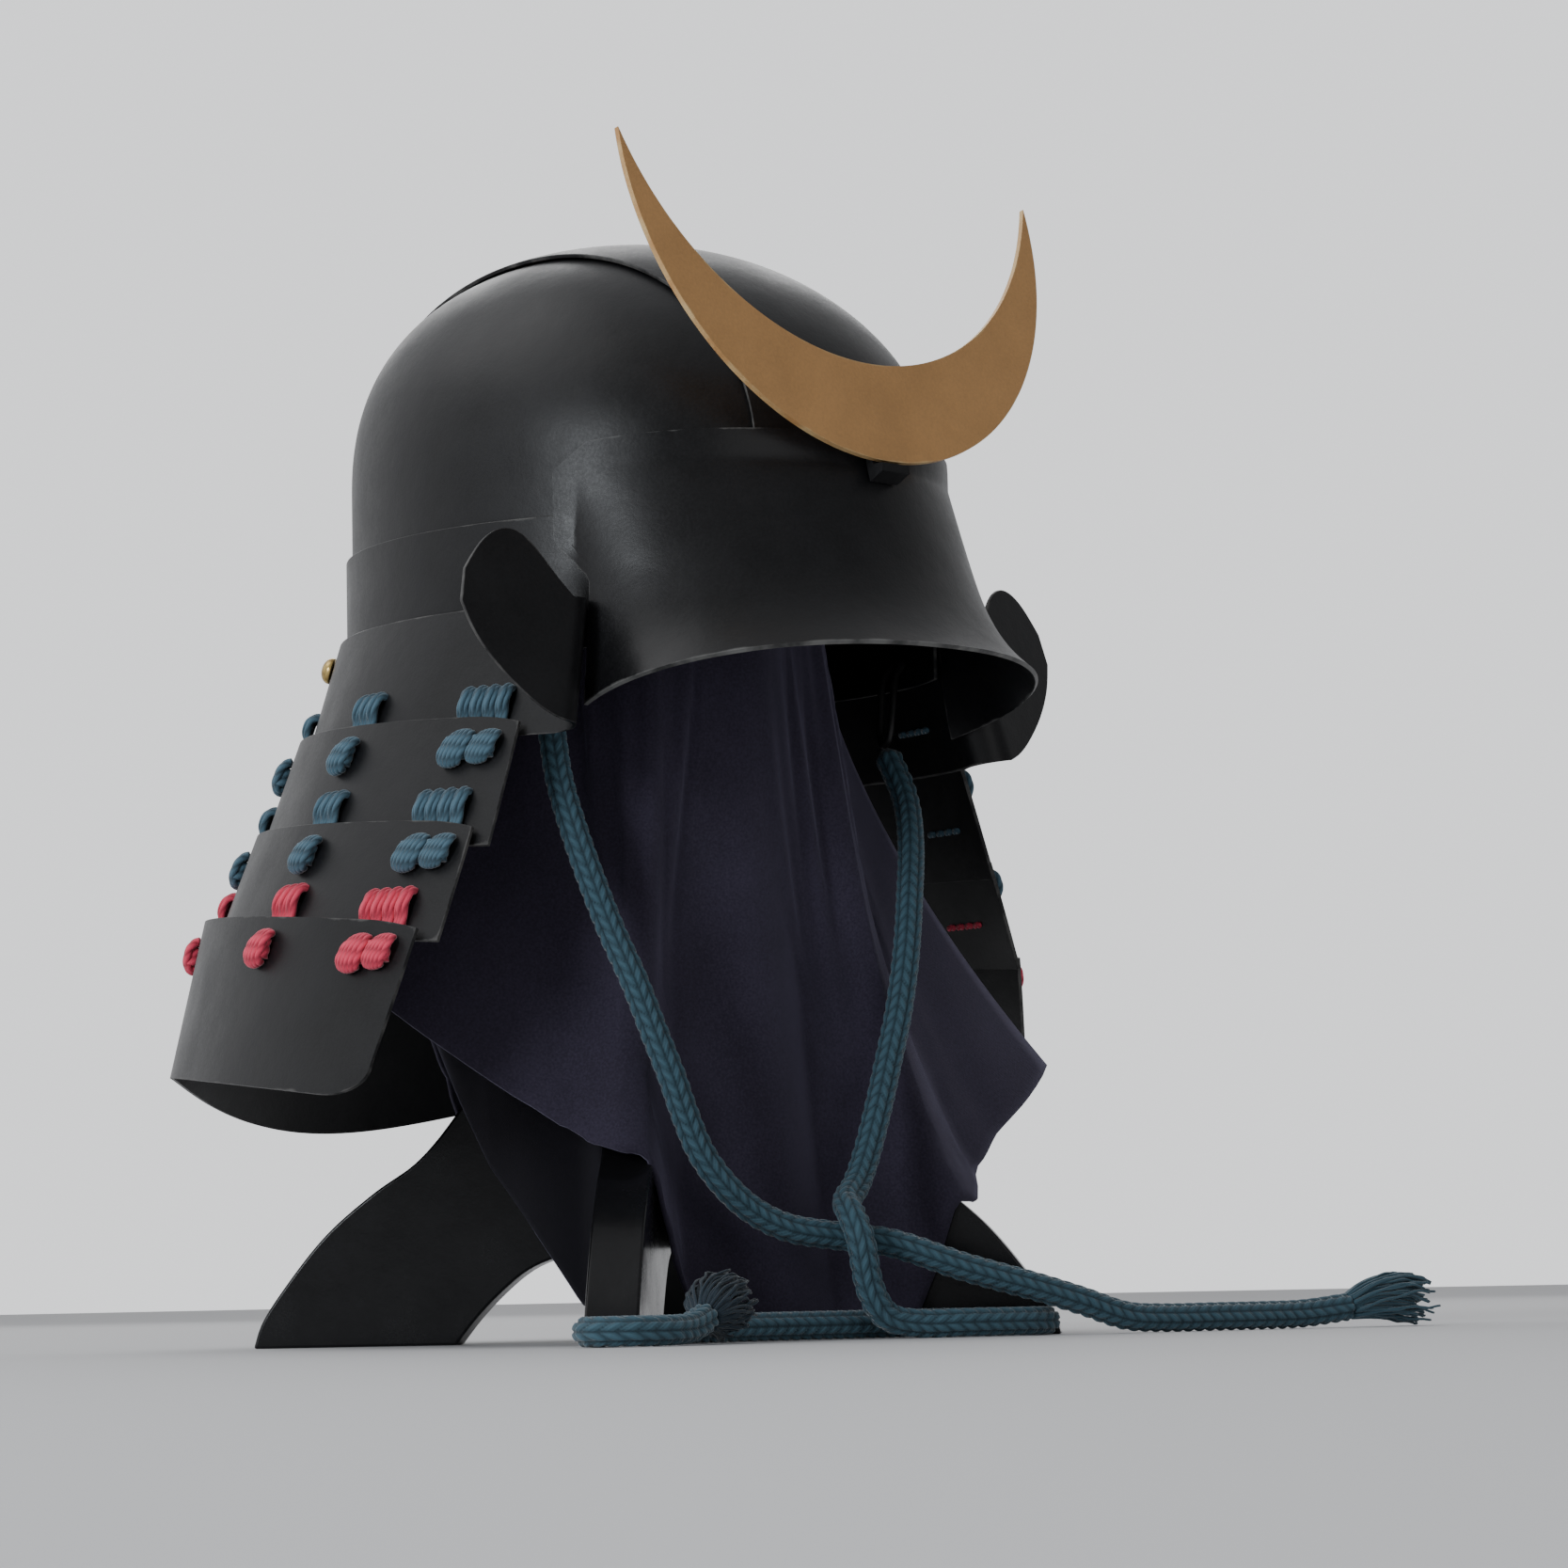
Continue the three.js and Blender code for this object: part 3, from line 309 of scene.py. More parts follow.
def fill_socket(tree, socket, value):
    """Links another node's output to a socket, or sets the socket's own value."""
    if isinstance(value, bpy.types.NodeSocket):
        tree.links.new(value, socket)
    else:
        socket.default_value = value


class Recipe:
    """The nodes of one material: add makes a node, and the rest are common kinds of it."""

    def __init__(self, tree):
        self.tree = tree

    def add(self, kind, settings=None, **inputs):
        node = self.tree.nodes.new(kind)
        for key, value in (settings or {}).items():
            setattr(node, key, value)
        for key, value in inputs.items():
            socket = int(key[1:]) if key[0] == "_" else key.replace("_", " ")
            fill_socket(self.tree, node.inputs[socket], value)
        return node

    def place(self):
        return self.add("ShaderNodeTexCoord").outputs["Object"]

    def attribute(self, name):
        return self.add("ShaderNodeAttribute", {"attribute_name": name}).outputs["Fac"]

    def math(self, operation, *values, clamp=False):
        named = {f"_{k}": v for k, v in enumerate(values)}
        settings = {"operation": operation, "use_clamp": clamp}
        return self.add("ShaderNodeMath", settings, **named).outputs[0]

    def weighted(self, first, share, second, other_share):
        return self.math("ADD", self.math("MULTIPLY", first, share),
                         self.math("MULTIPLY", second, other_share))

    def blend(self, factor, first, second):
        node = self.add("ShaderNodeMix", {"data_type": "RGBA"})
        for index, value in ((0, factor), (6, first), (7, second)):
            fill_socket(self.tree, node.inputs[index], value)
        return node.outputs[2]

    def spread(self, value, low, high, to_low, to_high):
        return self.add("ShaderNodeMapRange", None, Value=value, From_Min=low, From_Max=high,
                        To_Min=to_low, To_Max=to_high).outputs[0]

    def group(self, group, **inputs):
        return self.add("ShaderNodeGroup", {"node_tree": group}, **inputs)


def new_group(name, inputs, outputs):
    """An empty node group with named float inputs and outputs given as name: socket kind."""
    group = bpy.data.node_groups.new(name, "ShaderNodeTree")
    for key, value in inputs.items():
        socket = group.interface.new_socket(key, in_out="INPUT", socket_type="NodeSocketFloat")
        socket.default_value = value
    for key, kind in outputs.items():
        group.interface.new_socket(key, in_out="OUTPUT", socket_type=f"NodeSocket{kind}")
    recipe = Recipe(group)
    return group, recipe, recipe.add("NodeGroupInput"), recipe.add("NodeGroupOutput")


def new_material(name):
    """A material with its recipe of nodes and a way to feed its shader's sockets."""
    material = bpy.data.materials.new(name)
    material.use_nodes = True
    tree = material.node_tree
    recipe = Recipe(tree)
    shader = tree.nodes["Principled BSDF"]

    def feed(**sockets):
        for key, value in sockets.items():
            fill_socket(tree, shader.inputs[key.replace("_", " ")], value)

    return material, recipe, feed


# Lacquer: satin black, brushed on over the iron and never quite level. It swells faintly and has
# a fine peel. Along the plates' edges it is painted paler: partly lacquer rubbed through to the
# ground, partly a painted highlight of the thin light lines on the edges.
lacquer_grain, grain, grain_in, grain_out = new_group(
    "lacquer_grain", {"Swell Scale": 38.0, "Peel Scale": 900.0, "Peel": 0.12},
    {"Mottle": "Float", "Normal": "Vector"})
grain_place = grain.place()
swell = grain.add("ShaderNodeTexNoise", None, Vector=grain_place, Scale=grain_in.outputs["Swell Scale"],
                  Detail=3.0, Roughness=0.55).outputs["Fac"]
peel = grain.add("ShaderNodeTexNoise", None, Vector=grain_place, Scale=grain_in.outputs["Peel Scale"],
                 Detail=2.0).outputs["Fac"]
swelling = grain.add("ShaderNodeBump", None, Strength=0.10, Distance=0.004, Height=swell)
peeling = grain.add("ShaderNodeBump", None, Strength=grain_in.outputs["Peel"], Distance=0.0004,
                    Height=peel, Normal=swelling.outputs[0])
grain.tree.links.new(grain.weighted(swell, 0.6, peel, 0.4), grain_out.inputs["Mottle"])
grain.tree.links.new(peeling.outputs[0], grain_out.inputs["Normal"])

EDGE_REACH = 4.0
# The mask of the paler edge colour: partly rubbed wear, partly a painted highlight along the edges
rubbed_edge, edge_mark, edge_mark_in, edge_mark_out = new_group("rubbed_edge", {"Width": 0.5}, {"Mask": "Float"})
edge_noise = edge_mark.add("ShaderNodeTexNoise", None, Vector=edge_mark.place(), Scale=70.0, Detail=4.0, Roughness=0.6)
from_edge = edge_mark.math("MULTIPLY", edge_mark.math("SUBTRACT", 1.0, edge_mark.attribute("near_edge")), EDGE_REACH)
ragged = edge_mark.math("ADD", from_edge, edge_mark.spread(edge_noise.outputs["Fac"], 0.35, 0.65, -0.2, 0.9))
edge_fade = edge_mark.math("DIVIDE", ragged, edge_mark_in.outputs["Width"])
edge_mark.tree.links.new(edge_mark.math("SUBTRACT", 1.0, edge_fade, clamp=True), edge_mark_out.inputs["Mask"])


def lacquer_material(name, colour, edge_colour, roughness, edge_width, peel_depth, coat=0.0, mottle=0.3,
                     specular=0.33):
    """Brushed lacquer of a colour, painted with a paler edge colour: rubbed wear and painted highlight."""
    material, recipe, feed = new_material(name)
    surface = recipe.group(lacquer_grain, Peel=peel_depth)
    mask = recipe.group(rubbed_edge, Width=edge_width).outputs["Mask"]
    darker = [c * (1 - mottle) for c in colour]
    lighter = [c * (1 + mottle) for c in colour]
    tone = recipe.blend(recipe.spread(surface.outputs["Mottle"], 0.35, 0.65, 0.0, 1.0),
                        (*darker, 1), (*lighter, 1))
    rough = recipe.spread(surface.outputs["Mottle"], 0.35, 0.65, roughness - 0.05, roughness + 0.06)
    feed(Base_Color=recipe.blend(mask, tone, (*edge_colour, 1)),
         Roughness=recipe.math("ADD", rough, recipe.math("MULTIPLY", mask, 0.1)),
         Normal=surface.outputs["Normal"], Coat_Weight=coat, Coat_Roughness=0.25,
         Specular_IOR_Level=specular)
    return material


LACQUER_BLACK = (0.0085, 0.0085, 0.0095)
SHEET_EDGE = 0.45
black_lacquer = lacquer_material("black_lacquer", colour=LACQUER_BLACK, edge_colour=(0.085, 0.083, 0.08),
                                 roughness=0.39, edge_width=0.6, peel_depth=0.10)


def plate_piece(node, surface, us, vs, lift, grids=None, finish=black_lacquer, edge_strength=1.0):
    """One lacquered plate: a sheet over its base form, lifted off it and rounded at the edges."""
    outer, inner = grids or plate_grids(surface, us, vs, lift, PLATE)
    points, faces = closed_sheet(outer, inner)
    # Edge values for the paler edge colour, which is partly rubbed wear and partly painted highlight
    edge = (edge_strength * np.clip(1 - border_distance(outer) / EDGE_REACH, 0, 1)).ravel()
    piece = new_piece(f"{node}_sheet", points, faces, finish, "black_lacquer", node,
                      shading={"near_edge": np.concatenate([edge, edge])})
    round_edges(piece, SHEET_EDGE)


SIDE_PLATE_END = 0.93
side_along = -SIDE_PLATE_END * np.cos(np.linspace(0, np.pi, 66))
side_down = np.concatenate([np.linspace(0, 1, 40), np.linspace(1, 2, 8)[1:]])
for side, name in ((-1, "right"), (1, "left")):
    plate_piece(f"bowl_side_plate_{name}", side_surface(side), side_along, side_down, 0)
strip_along = np.concatenate([[-2, -1.5], np.linspace(-1, 1, 90), [1.25, 1.5, 1.75, 2]])
strip_across = np.linspace(-STRIP_HALF, STRIP_HALF, 28)
plate_piece("bowl_top_plate", strip_surface, strip_along, strip_across, STEP)

# Brow plate: one iron sheet seated over the bowl's front and hammered out below into a flared
# peak. Its lacquer is a little smoother than the bowl's and painted pale along the peak's rim:
# partly rubbed wear, partly a painted highlight of the rim's light line.
BROW_TOP_Z = 323.0
BROW_TOP_DROP = 5.0
BROW_END_SHARE = 0.9
BROW_END_DROP = 8.0
BROW_HALF_ANGLE = 64.0
PEAK_HALF_ANGLE = 56.5
PEAK_CUT = (268.0, 286.0)
PEAK_START_Z = 312.0
PEAK_REACH = 36.0
PEAK_END_ANGLE = 59.5
PEAK_STRAIGHT = 0.6
PEAK_FLARE_POWER = 5
RIM_Z = 240.5
RIM_DROP = 16.5
RIM_CURVE = 2.6


def brow_surface(s, v):
    """The brow plate from side to side and from its top edge down to the peak's rim."""
    side = abs(s)
    end = max(0.0, side - BROW_END_SHARE) / (1 - BROW_END_SHARE)
    top = BROW_TOP_Z - BROW_TOP_DROP * side ** 4 - BROW_END_DROP * end
    rim = RIM_Z - RIM_DROP * side ** RIM_CURVE
    z = top + (rim - top) * v
    t = min(max((z - PEAK_CUT[0]) / (PEAK_CUT[1] - PEAK_CUT[0]), 0), 1)
    cut = t * t * (3 - 2 * t)
    angle = s * (PEAK_HALF_ANGLE + (BROW_HALF_ANGLE - PEAK_HALF_ANGLE) * cut)
    below = max(0.0, (PEAK_START_Z - z) / (PEAK_START_Z - rim))
    reach = PEAK_REACH * (1 - (abs(angle) / max(PEAK_END_ANGLE, abs(angle))) ** 5)
    a = math.radians(angle)
    out = reach * (PEAK_STRAIGHT * below + (1 - PEAK_STRAIGHT) * below ** PEAK_FLARE_POWER)
    return bowl_at(angle, z) + np.array([math.sin(a), -math.cos(a), 0]) * out


brow_across = np.sin(np.linspace(-np.pi / 2, np.pi / 2, 121))
brow_down = np.concatenate([np.linspace(0, 0.8, 26), np.linspace(0.8, 1, 14)[1:]])
brow_lacquer = lacquer_material("brow_lacquer", colour=LACQUER_BLACK, edge_colour=(0.15, 0.15, 0.145),
                                roughness=0.36, edge_width=1.1, peel_depth=0.10)
# The painted pale edge, part wear and part painted highlight, is full along the peak's rim and weaker along
# the top edge
RIM_SHARE = 0.3
TOP_EDGE_STRENGTH = 0.86
towards_rim = np.clip((brow_down - (1 - RIM_SHARE)) / RIM_SHARE, 0, 1)
plate_piece("brow_plate", brow_surface, brow_across, brow_down, 2 * STEP, finish=brow_lacquer,
            edge_strength=TOP_EDGE_STRENGTH + (1 - TOP_EDGE_STRENGTH) * towards_rim[None, :])

# Waist band: a plain band of black lacquered iron sheet, bent round the sides and the back. It
# lies over the bowl's lower edge, and the neck guard is riveted to it.
BAND_TOP_Z = 294.4
BAND_BOTTOM_Z = 246.0
BAND_HALF_ANGLE = 52.0
plate_piece("waist_band", oval, np.linspace(BAND_HALF_ANGLE, 360 - BAND_HALF_ANGLE, 150),
            np.linspace(BAND_TOP_Z, BAND_BOTTOM_Z, 10), STEP)

# Neck guard: four curved iron lames hung one under another, the first with its front ends
# turned back into ears. Heights and outward growth are those of the solids.
LAMES = [
    {"top": 263, "drop": 0, "bottom": 214, "dip": 0, "grow": 4.9, "slope": 0.3, "front": (62, 62)},
    {"top": 226, "drop": 5, "bottom": 179, "dip": 5, "grow": 20.5, "slope": 0.36, "front": (67, 69)},
    {"top": 191, "drop": 8, "bottom": 149, "dip": 9, "grow": 36.8, "slope": 0.38, "front": (71, 73)},
    {"top": 159, "drop": 12, "bottom": 101, "dip": 17, "grow": 56.6, "slope": 0.23, "front": (75, 79)},
]
HIGHEST_ANGLE = 135.0
FRONT_SAG_CURVE = 1.6
LAME_END = 0.07
LAME_END_DROP = 2.0
CORNER_RADIUS = 12.0


def lame_grow(lame, z):
    """How far a lame stands out from the bowl's oval at a height."""
    return lame["grow"] + lame["slope"] * (lame["top"] - z)


def sag(lame, angle):
    """From none where a lame hangs highest to all of it at the front ends and the back."""
    away = abs(angle) - HIGHEST_ANGLE
    if away > 0:
        return (1 - math.cos(min(away / (180 - HIGHEST_ANGLE), 1) * math.pi)) / 2
    return min(-away / (HIGHEST_ANGLE - lame["front"][0]), 1) ** FRONT_SAG_CURVE


def top_edge(lame, angle):
    return lame["top"] - lame["drop"] * sag(lame, angle)


def lame_surface(lame, rounded):
    """A lower lame from end to end and from top to bottom, its lower corners cut round or not."""
    def surface(s, v):
        end = lame["front"][0] + (lame["front"][1] - lame["front"][0]) * v
        angle = 180 - abs(s) * (180 - end)
        signed = -angle if s < 0 else angle
        top = top_edge(lame, signed)
        bottom = lame["bottom"] - lame["dip"] * sag(lame, signed)
        near = max(0.0, abs(s) - (1 - LAME_END)) / LAME_END
        if rounded:
            bottom += CORNER_RADIUS * (1 - math.sqrt(1 - min(near, 1) ** 2))
        top -= LAME_END_DROP * near ** 2
        z = top + (bottom - top) * v
        return oval(signed, z, lame_grow(lame, z))
    return surface


lame_end = LAME_END * (1 - np.cos(np.linspace(0, np.pi / 2, 12)))
lame_along = np.concatenate([-1 + lame_end, np.linspace(-0.92, 0.92, 130), (1 - lame_end)[::-1]])
for k, lame in enumerate(LAMES[1:], 2):
    plate_piece(f"neck_lame_{k}", lame_surface(lame, k == 4), lame_along, np.linspace(0, 1, 12), 0)

# The ears: each front end of the first lame turns forward and then lies out to the side
EAR_TURN_RADIUS = 10.0
EAR_TURN_ANGLE = 119.0
EAR_OUTWARD = (0.908, -0.419)
EAR_LEAF = (0.99, 0.14)
EAR_OUT = [0, 6, 13, 21, 30, 38, 44, 47]
EAR_TOP = [262, 267, 274, 282, 286, 283.5, 277, 269]
EAR_BOTTOM = [217, 219, 223, 228.5, 235.5, 243.5, 250.5, 257.5]
first = LAMES[0]
turn_length = EAR_TURN_RADIUS * math.radians(EAR_TURN_ANGLE)


def ear_point(distance, z, side):
    """A point of an ear by its distance along the sheet from the lame's front end."""
    start = oval(first["front"][0] * side, z, lame_grow(first, z))
    out = np.array([side * EAR_OUTWARD[0], EAR_OUTWARD[1], 0])
    ahead = np.array([side * EAR_OUTWARD[1], -EAR_OUTWARD[0], 0])
    turned = min(distance, turn_length) / EAR_TURN_RADIUS
    point = (start + out * EAR_TURN_RADIUS * (1 - math.cos(turned))
             + ahead * EAR_TURN_RADIUS * math.sin(turned))
    beyond = max(0.0, distance - turn_length)
    return point + np.array([side * EAR_LEAF[0] * beyond, EAR_LEAF[1] * beyond, 0])


def smooth_ear(values):
    """The ear's outline sampled from its few heights, with the corners smoothed away."""
    fine_out = np.linspace(0, EAR_OUT[-1], 60)
    fine_values = np.interp(fine_out, EAR_OUT, values)
    for _ in range(40):
        fine_values[1:-1] = (fine_values[:-2] + 2 * fine_values[1:-1] + fine_values[2:]) / 4
    return fine_out, fine_values


fine_out, fine_top = smooth_ear(EAR_TOP)
_, fine_bottom = smooth_ear(EAR_BOTTOM)


def first_lame_surface(s, v):
    """The first lame; beyond 1 either way comes the turn, and beyond 2 the ear."""
    side, along = (-1 if s < 0 else 1), abs(s)
    if along <= 1:
        z = first["top"] + (first["bottom"] - first["top"]) * v
        return oval(side * (180 - along * (180 - first["front"][0])), z, lame_grow(first, z))
    distance = (along - 1) * turn_length if along <= 2 else turn_length + (along - 2) * EAR_OUT[-1]
    beyond = max(0.0, distance - turn_length)
    share = min(1.0, distance / turn_length)
    top = first["top"] + (np.interp(beyond, fine_out, fine_top) - first["top"]) * share
    bottom = first["bottom"] + (np.interp(beyond, fine_out, fine_bottom) - first["bottom"]) * share
    return ear_point(distance, top + (bottom - top) * v, side)


half_along = np.concatenate([np.linspace(0, 1, 70), np.linspace(1, 2, 22)[1:], np.linspace(2, 3, 34)[1:]])
ear_along = np.concatenate([-half_along[:0:-1], half_along])
EAR_ROWS = 12
first_outer = np.zeros((len(ear_along), EAR_ROWS, 3))
first_inner = np.zeros_like(first_outer)
for i, u in enumerate(ear_along):
    run = first_lame_surface(u + 1e-3, 0.5) - first_lame_surface(u - 1e-3, 0.5)
    inward = np.cross([run[0], run[1], 0], [0, 0, 1])
    inward /= np.linalg.norm(inward)
    inward[2] = first["slope"] * np.clip((1.3 - abs(u)) / 0.3, 0, 1)
    inward /= np.linalg.norm(inward)
    for j, v in enumerate(np.linspace(0, 1, EAR_ROWS)):
        first_outer[i, j] = first_lame_surface(u, v)
        first_inner[i, j] = first_outer[i, j] + inward * PLATE
plate_piece("neck_lame_1", None, None, None, 0, grids=(first_outer, first_inner))

# Laces: puffy bands of doubled silk cord. At each join they come out of slots in the upper
# lame, tuck under the lower one and show again below as round knots; blue over red.
LACE_COLUMNS = {
    "front": {"angles": (74, 77, 81), "strands": 3, "knots": 2},
    "side": {"angles": (100, 99.5, 100), "strands": 2, "knots": 1},
    "rear": {"angles": (138, 138, 138), "strands": 2, "knots": 1}}
BACK_ANGLE = 180
RED_JOIN = 2
LACE_GAP = 0.3
LACE_WIDTH = 7.6
LACE_LOOP = 10.5
LACE_PROUD = 2.7
LACE_LEAN = 0.8
BUNDLE_WIDTH = {3: 5.7, 2: 5.1}
YARN = 1.3
YARN_PITCH = 1.5
YARN_TURNS = 2.6
YARN_SIDES = 12
YARN_STEP = 0.75
KNOT_DOWN = 11.5
KNOT_SPACING = 11.1
KNOT_SECOND_SIZE = 0.9
KNOT_HALF_HEIGHT = 5.9
KNOT_HALF_WIDTH = 6.2
KNOT_PROUD = 5.0
KNOT_SLANT = 2.2
KNOT_YARNS = 6
KNOT_YARN = 1.35
KNOT_PITCH = 1.75
KNOT_TURNS = 3.4
KNOT_CORE = 2.7
KNOT_CORE_APART = 2.1


def smooth_route(points, spacing):
    """Points every few millimetres along a smooth curve through the given ones."""
    samples = 24
    p = [np.array(q, dtype=float) for q in points]
    p = [2 * p[0] - p[1], *p, 2 * p[-1] - p[-2]]
    dense = []
    for a, b, c, d in zip(p, p[1:], p[2:], p[3:]):
        t0, t1 = 0.0, np.linalg.norm(b - a) ** 0.5
        t2 = t1 + np.linalg.norm(c - b) ** 0.5
        t3 = t2 + np.linalg.norm(d - c) ** 0.5
        for t in np.linspace(t1, t2, samples, endpoint=False):
            ab = a + (b - a) * (t - t0) / (t1 - t0)
            bc = b + (c - b) * (t - t1) / (t2 - t1)
            cd = c + (d - c) * (t - t2) / (t3 - t2)
            abc = ab + (bc - ab) * (t - t0) / (t2 - t0)
            bcd = bc + (cd - bc) * (t - t1) / (t3 - t1)
            dense.append(abc + (bcd - abc) * (t - t1) / (t2 - t1))
    dense.append(p[-2])
    dense = np.array(dense)
    along = np.concatenate([[0], np.cumsum(np.linalg.norm(np.diff(dense, axis=0), axis=1))])
    count = max(2, int(round(along[-1] / spacing)) + 1)
    even = np.linspace(0, along[-1], count)
    return np.stack([np.interp(even, along, dense[:, k]) for k in range(3)], axis=1)


def carried_frames(route):
    """Two side directions at each point of a route, carried along it without a twist."""
    tangents = np.gradient(route, axis=0)
    tangents /= np.linalg.norm(tangents, axis=1)[:, None]
    aside = [0.3, 0.5, 0.81]
    start = np.cross(tangents[0], aside)
    side = start / np.linalg.norm(start)
    sides = [side]
    for a, b in zip(tangents, tangents[1:]):
        axis = np.cross(a, b)
        s = np.linalg.norm(axis)
        if s > 1e-9:
            axis /= s
            c = float(np.clip(a @ b, -1, 1))
            side = side * c + np.cross(axis, side) * s + axis * (axis @ side) * (1 - c)
        side = side - b * (side @ b)
        side /= np.linalg.norm(side)
        sides.append(side)
    sides = np.array(sides)
    return sides, np.cross(tangents, sides)


def tube_mesh(route, radius):
    """Points and faces of a capped tube; radius is one row of distances for each point."""
    rows, count = radius.shape
    first, second = carried_frames(route)
    angle = np.linspace(0, 2 * np.pi, count, endpoint=False)
    ring_points = (route[:, None, :]
                   + radius[..., None] * (first[:, None, :] * np.cos(angle)[None, :, None]
                                          + second[:, None, :] * np.sin(angle)[None, :, None]))
    points = ring_points.reshape(-1, 3)
    i, j = np.meshgrid(np.arange(rows - 1), np.arange(count), indexing="ij")
    a = i * count + j
    b = i * count + (j + 1) % count
    faces = np.stack([a, b, b + count, a + count], axis=-1).reshape(-1, 4).tolist()
    faces.append(list(range(count))[::-1])
    faces.append([(rows - 1) * count + k for k in range(count)])
    return points, faces


def join_meshes(parts):
    """One mesh from several, given as pairs of points and faces."""
    points, faces, base = [], [], 0
    for p, f in parts:
        points.append(p)
        faces += [[base + k for k in face] for face in f]
        base += len(p)
    return np.concatenate(points), faces


# Loose fibres and dye: yarns and cloth are never quite even. This fine mottle with broader
# patches is shared by all of them, each with its own scales.
fibre_group, fibre, fibre_in, fibre_out = new_group(
    "fibre_mottle", {"Scale": 900.0, "Patch Scale": 60.0}, {"Value": "Float"})
fibre_place = fibre.place()
fine = fibre.add("ShaderNodeTexNoise", None, Vector=fibre_place, Scale=fibre_in.outputs["Scale"],
                 Detail=2.0).outputs["Fac"]
patch = fibre.add("ShaderNodeTexNoise", None, Vector=fibre_place,
                  Scale=fibre_in.outputs["Patch Scale"], Detail=3.0).outputs["Fac"]
fibre.tree.links.new(fibre.weighted(fine, 0.6, patch, 0.4), fibre_out.inputs["Value"])


def yarn_material(name, groove_shade, light, bump=0.25):
    """Silk yarn: painted shade in the grooves that the mesh carries and a painted highlight on its crowns.
    """
    material, recipe, feed = new_material(name)
    mottle = recipe.group(fibre_group, Scale=1500.0, Patch_Scale=90.0).outputs["Value"]
    # The crown value paints shade into the grooves and light onto the crowns, mixed with dye mottle
    crown = recipe.attribute("crown")
    level = recipe.weighted(crown, 0.75, mottle, 0.4)
    level = recipe.math("SUBTRACT", level, 0.1, clamp=True)
    ply = recipe.math("SINE", recipe.math("MULTIPLY", recipe.attribute("ply"), 2 * math.pi))
    height = recipe.math("ADD", recipe.math("MULTIPLY", ply, 0.5), mottle)
    relief = recipe.add("ShaderNodeBump", None, Strength=bump, Distance=0.0006, Height=height)
    feed(Base_Color=recipe.blend(level, (*groove_shade, 1), (*light, 1)),
         Roughness=recipe.spread(mottle, 0.3, 0.7, 0.72, 0.88), Normal=relief.outputs[0],
         Sheen_Weight=0.35, Sheen_Roughness=0.4)
    return material


blue_yarn = yarn_material("blue_silk", groove_shade=(0.010, 0.028, 0.042), light=(0.088, 0.180, 0.245), bump=0.5)
red_yarn = yarn_material("red_silk", groove_shade=(0.30, 0.011, 0.028), light=(1.0, 0.085, 0.16), bump=0.5)


def yarn(route, radius, turns):
    """One silk cord of two plies twisted together, with its crown and ply values."""
    route = smooth_route(route, YARN_STEP)
    share = np.linspace(0, 1, len(route))
    angle = np.linspace(0, 2 * np.pi, YARN_SIDES, endpoint=False)
    # The crown value swells the plies and, in the yarn material, paints shade into the grooves between them
    crown = np.abs(np.cos(angle[None, :] - np.pi * turns * share[:, None]))
    points, faces = tube_mesh(route, radius * (0.86 + 0.17 * crown))
    return points, faces, crown.ravel()


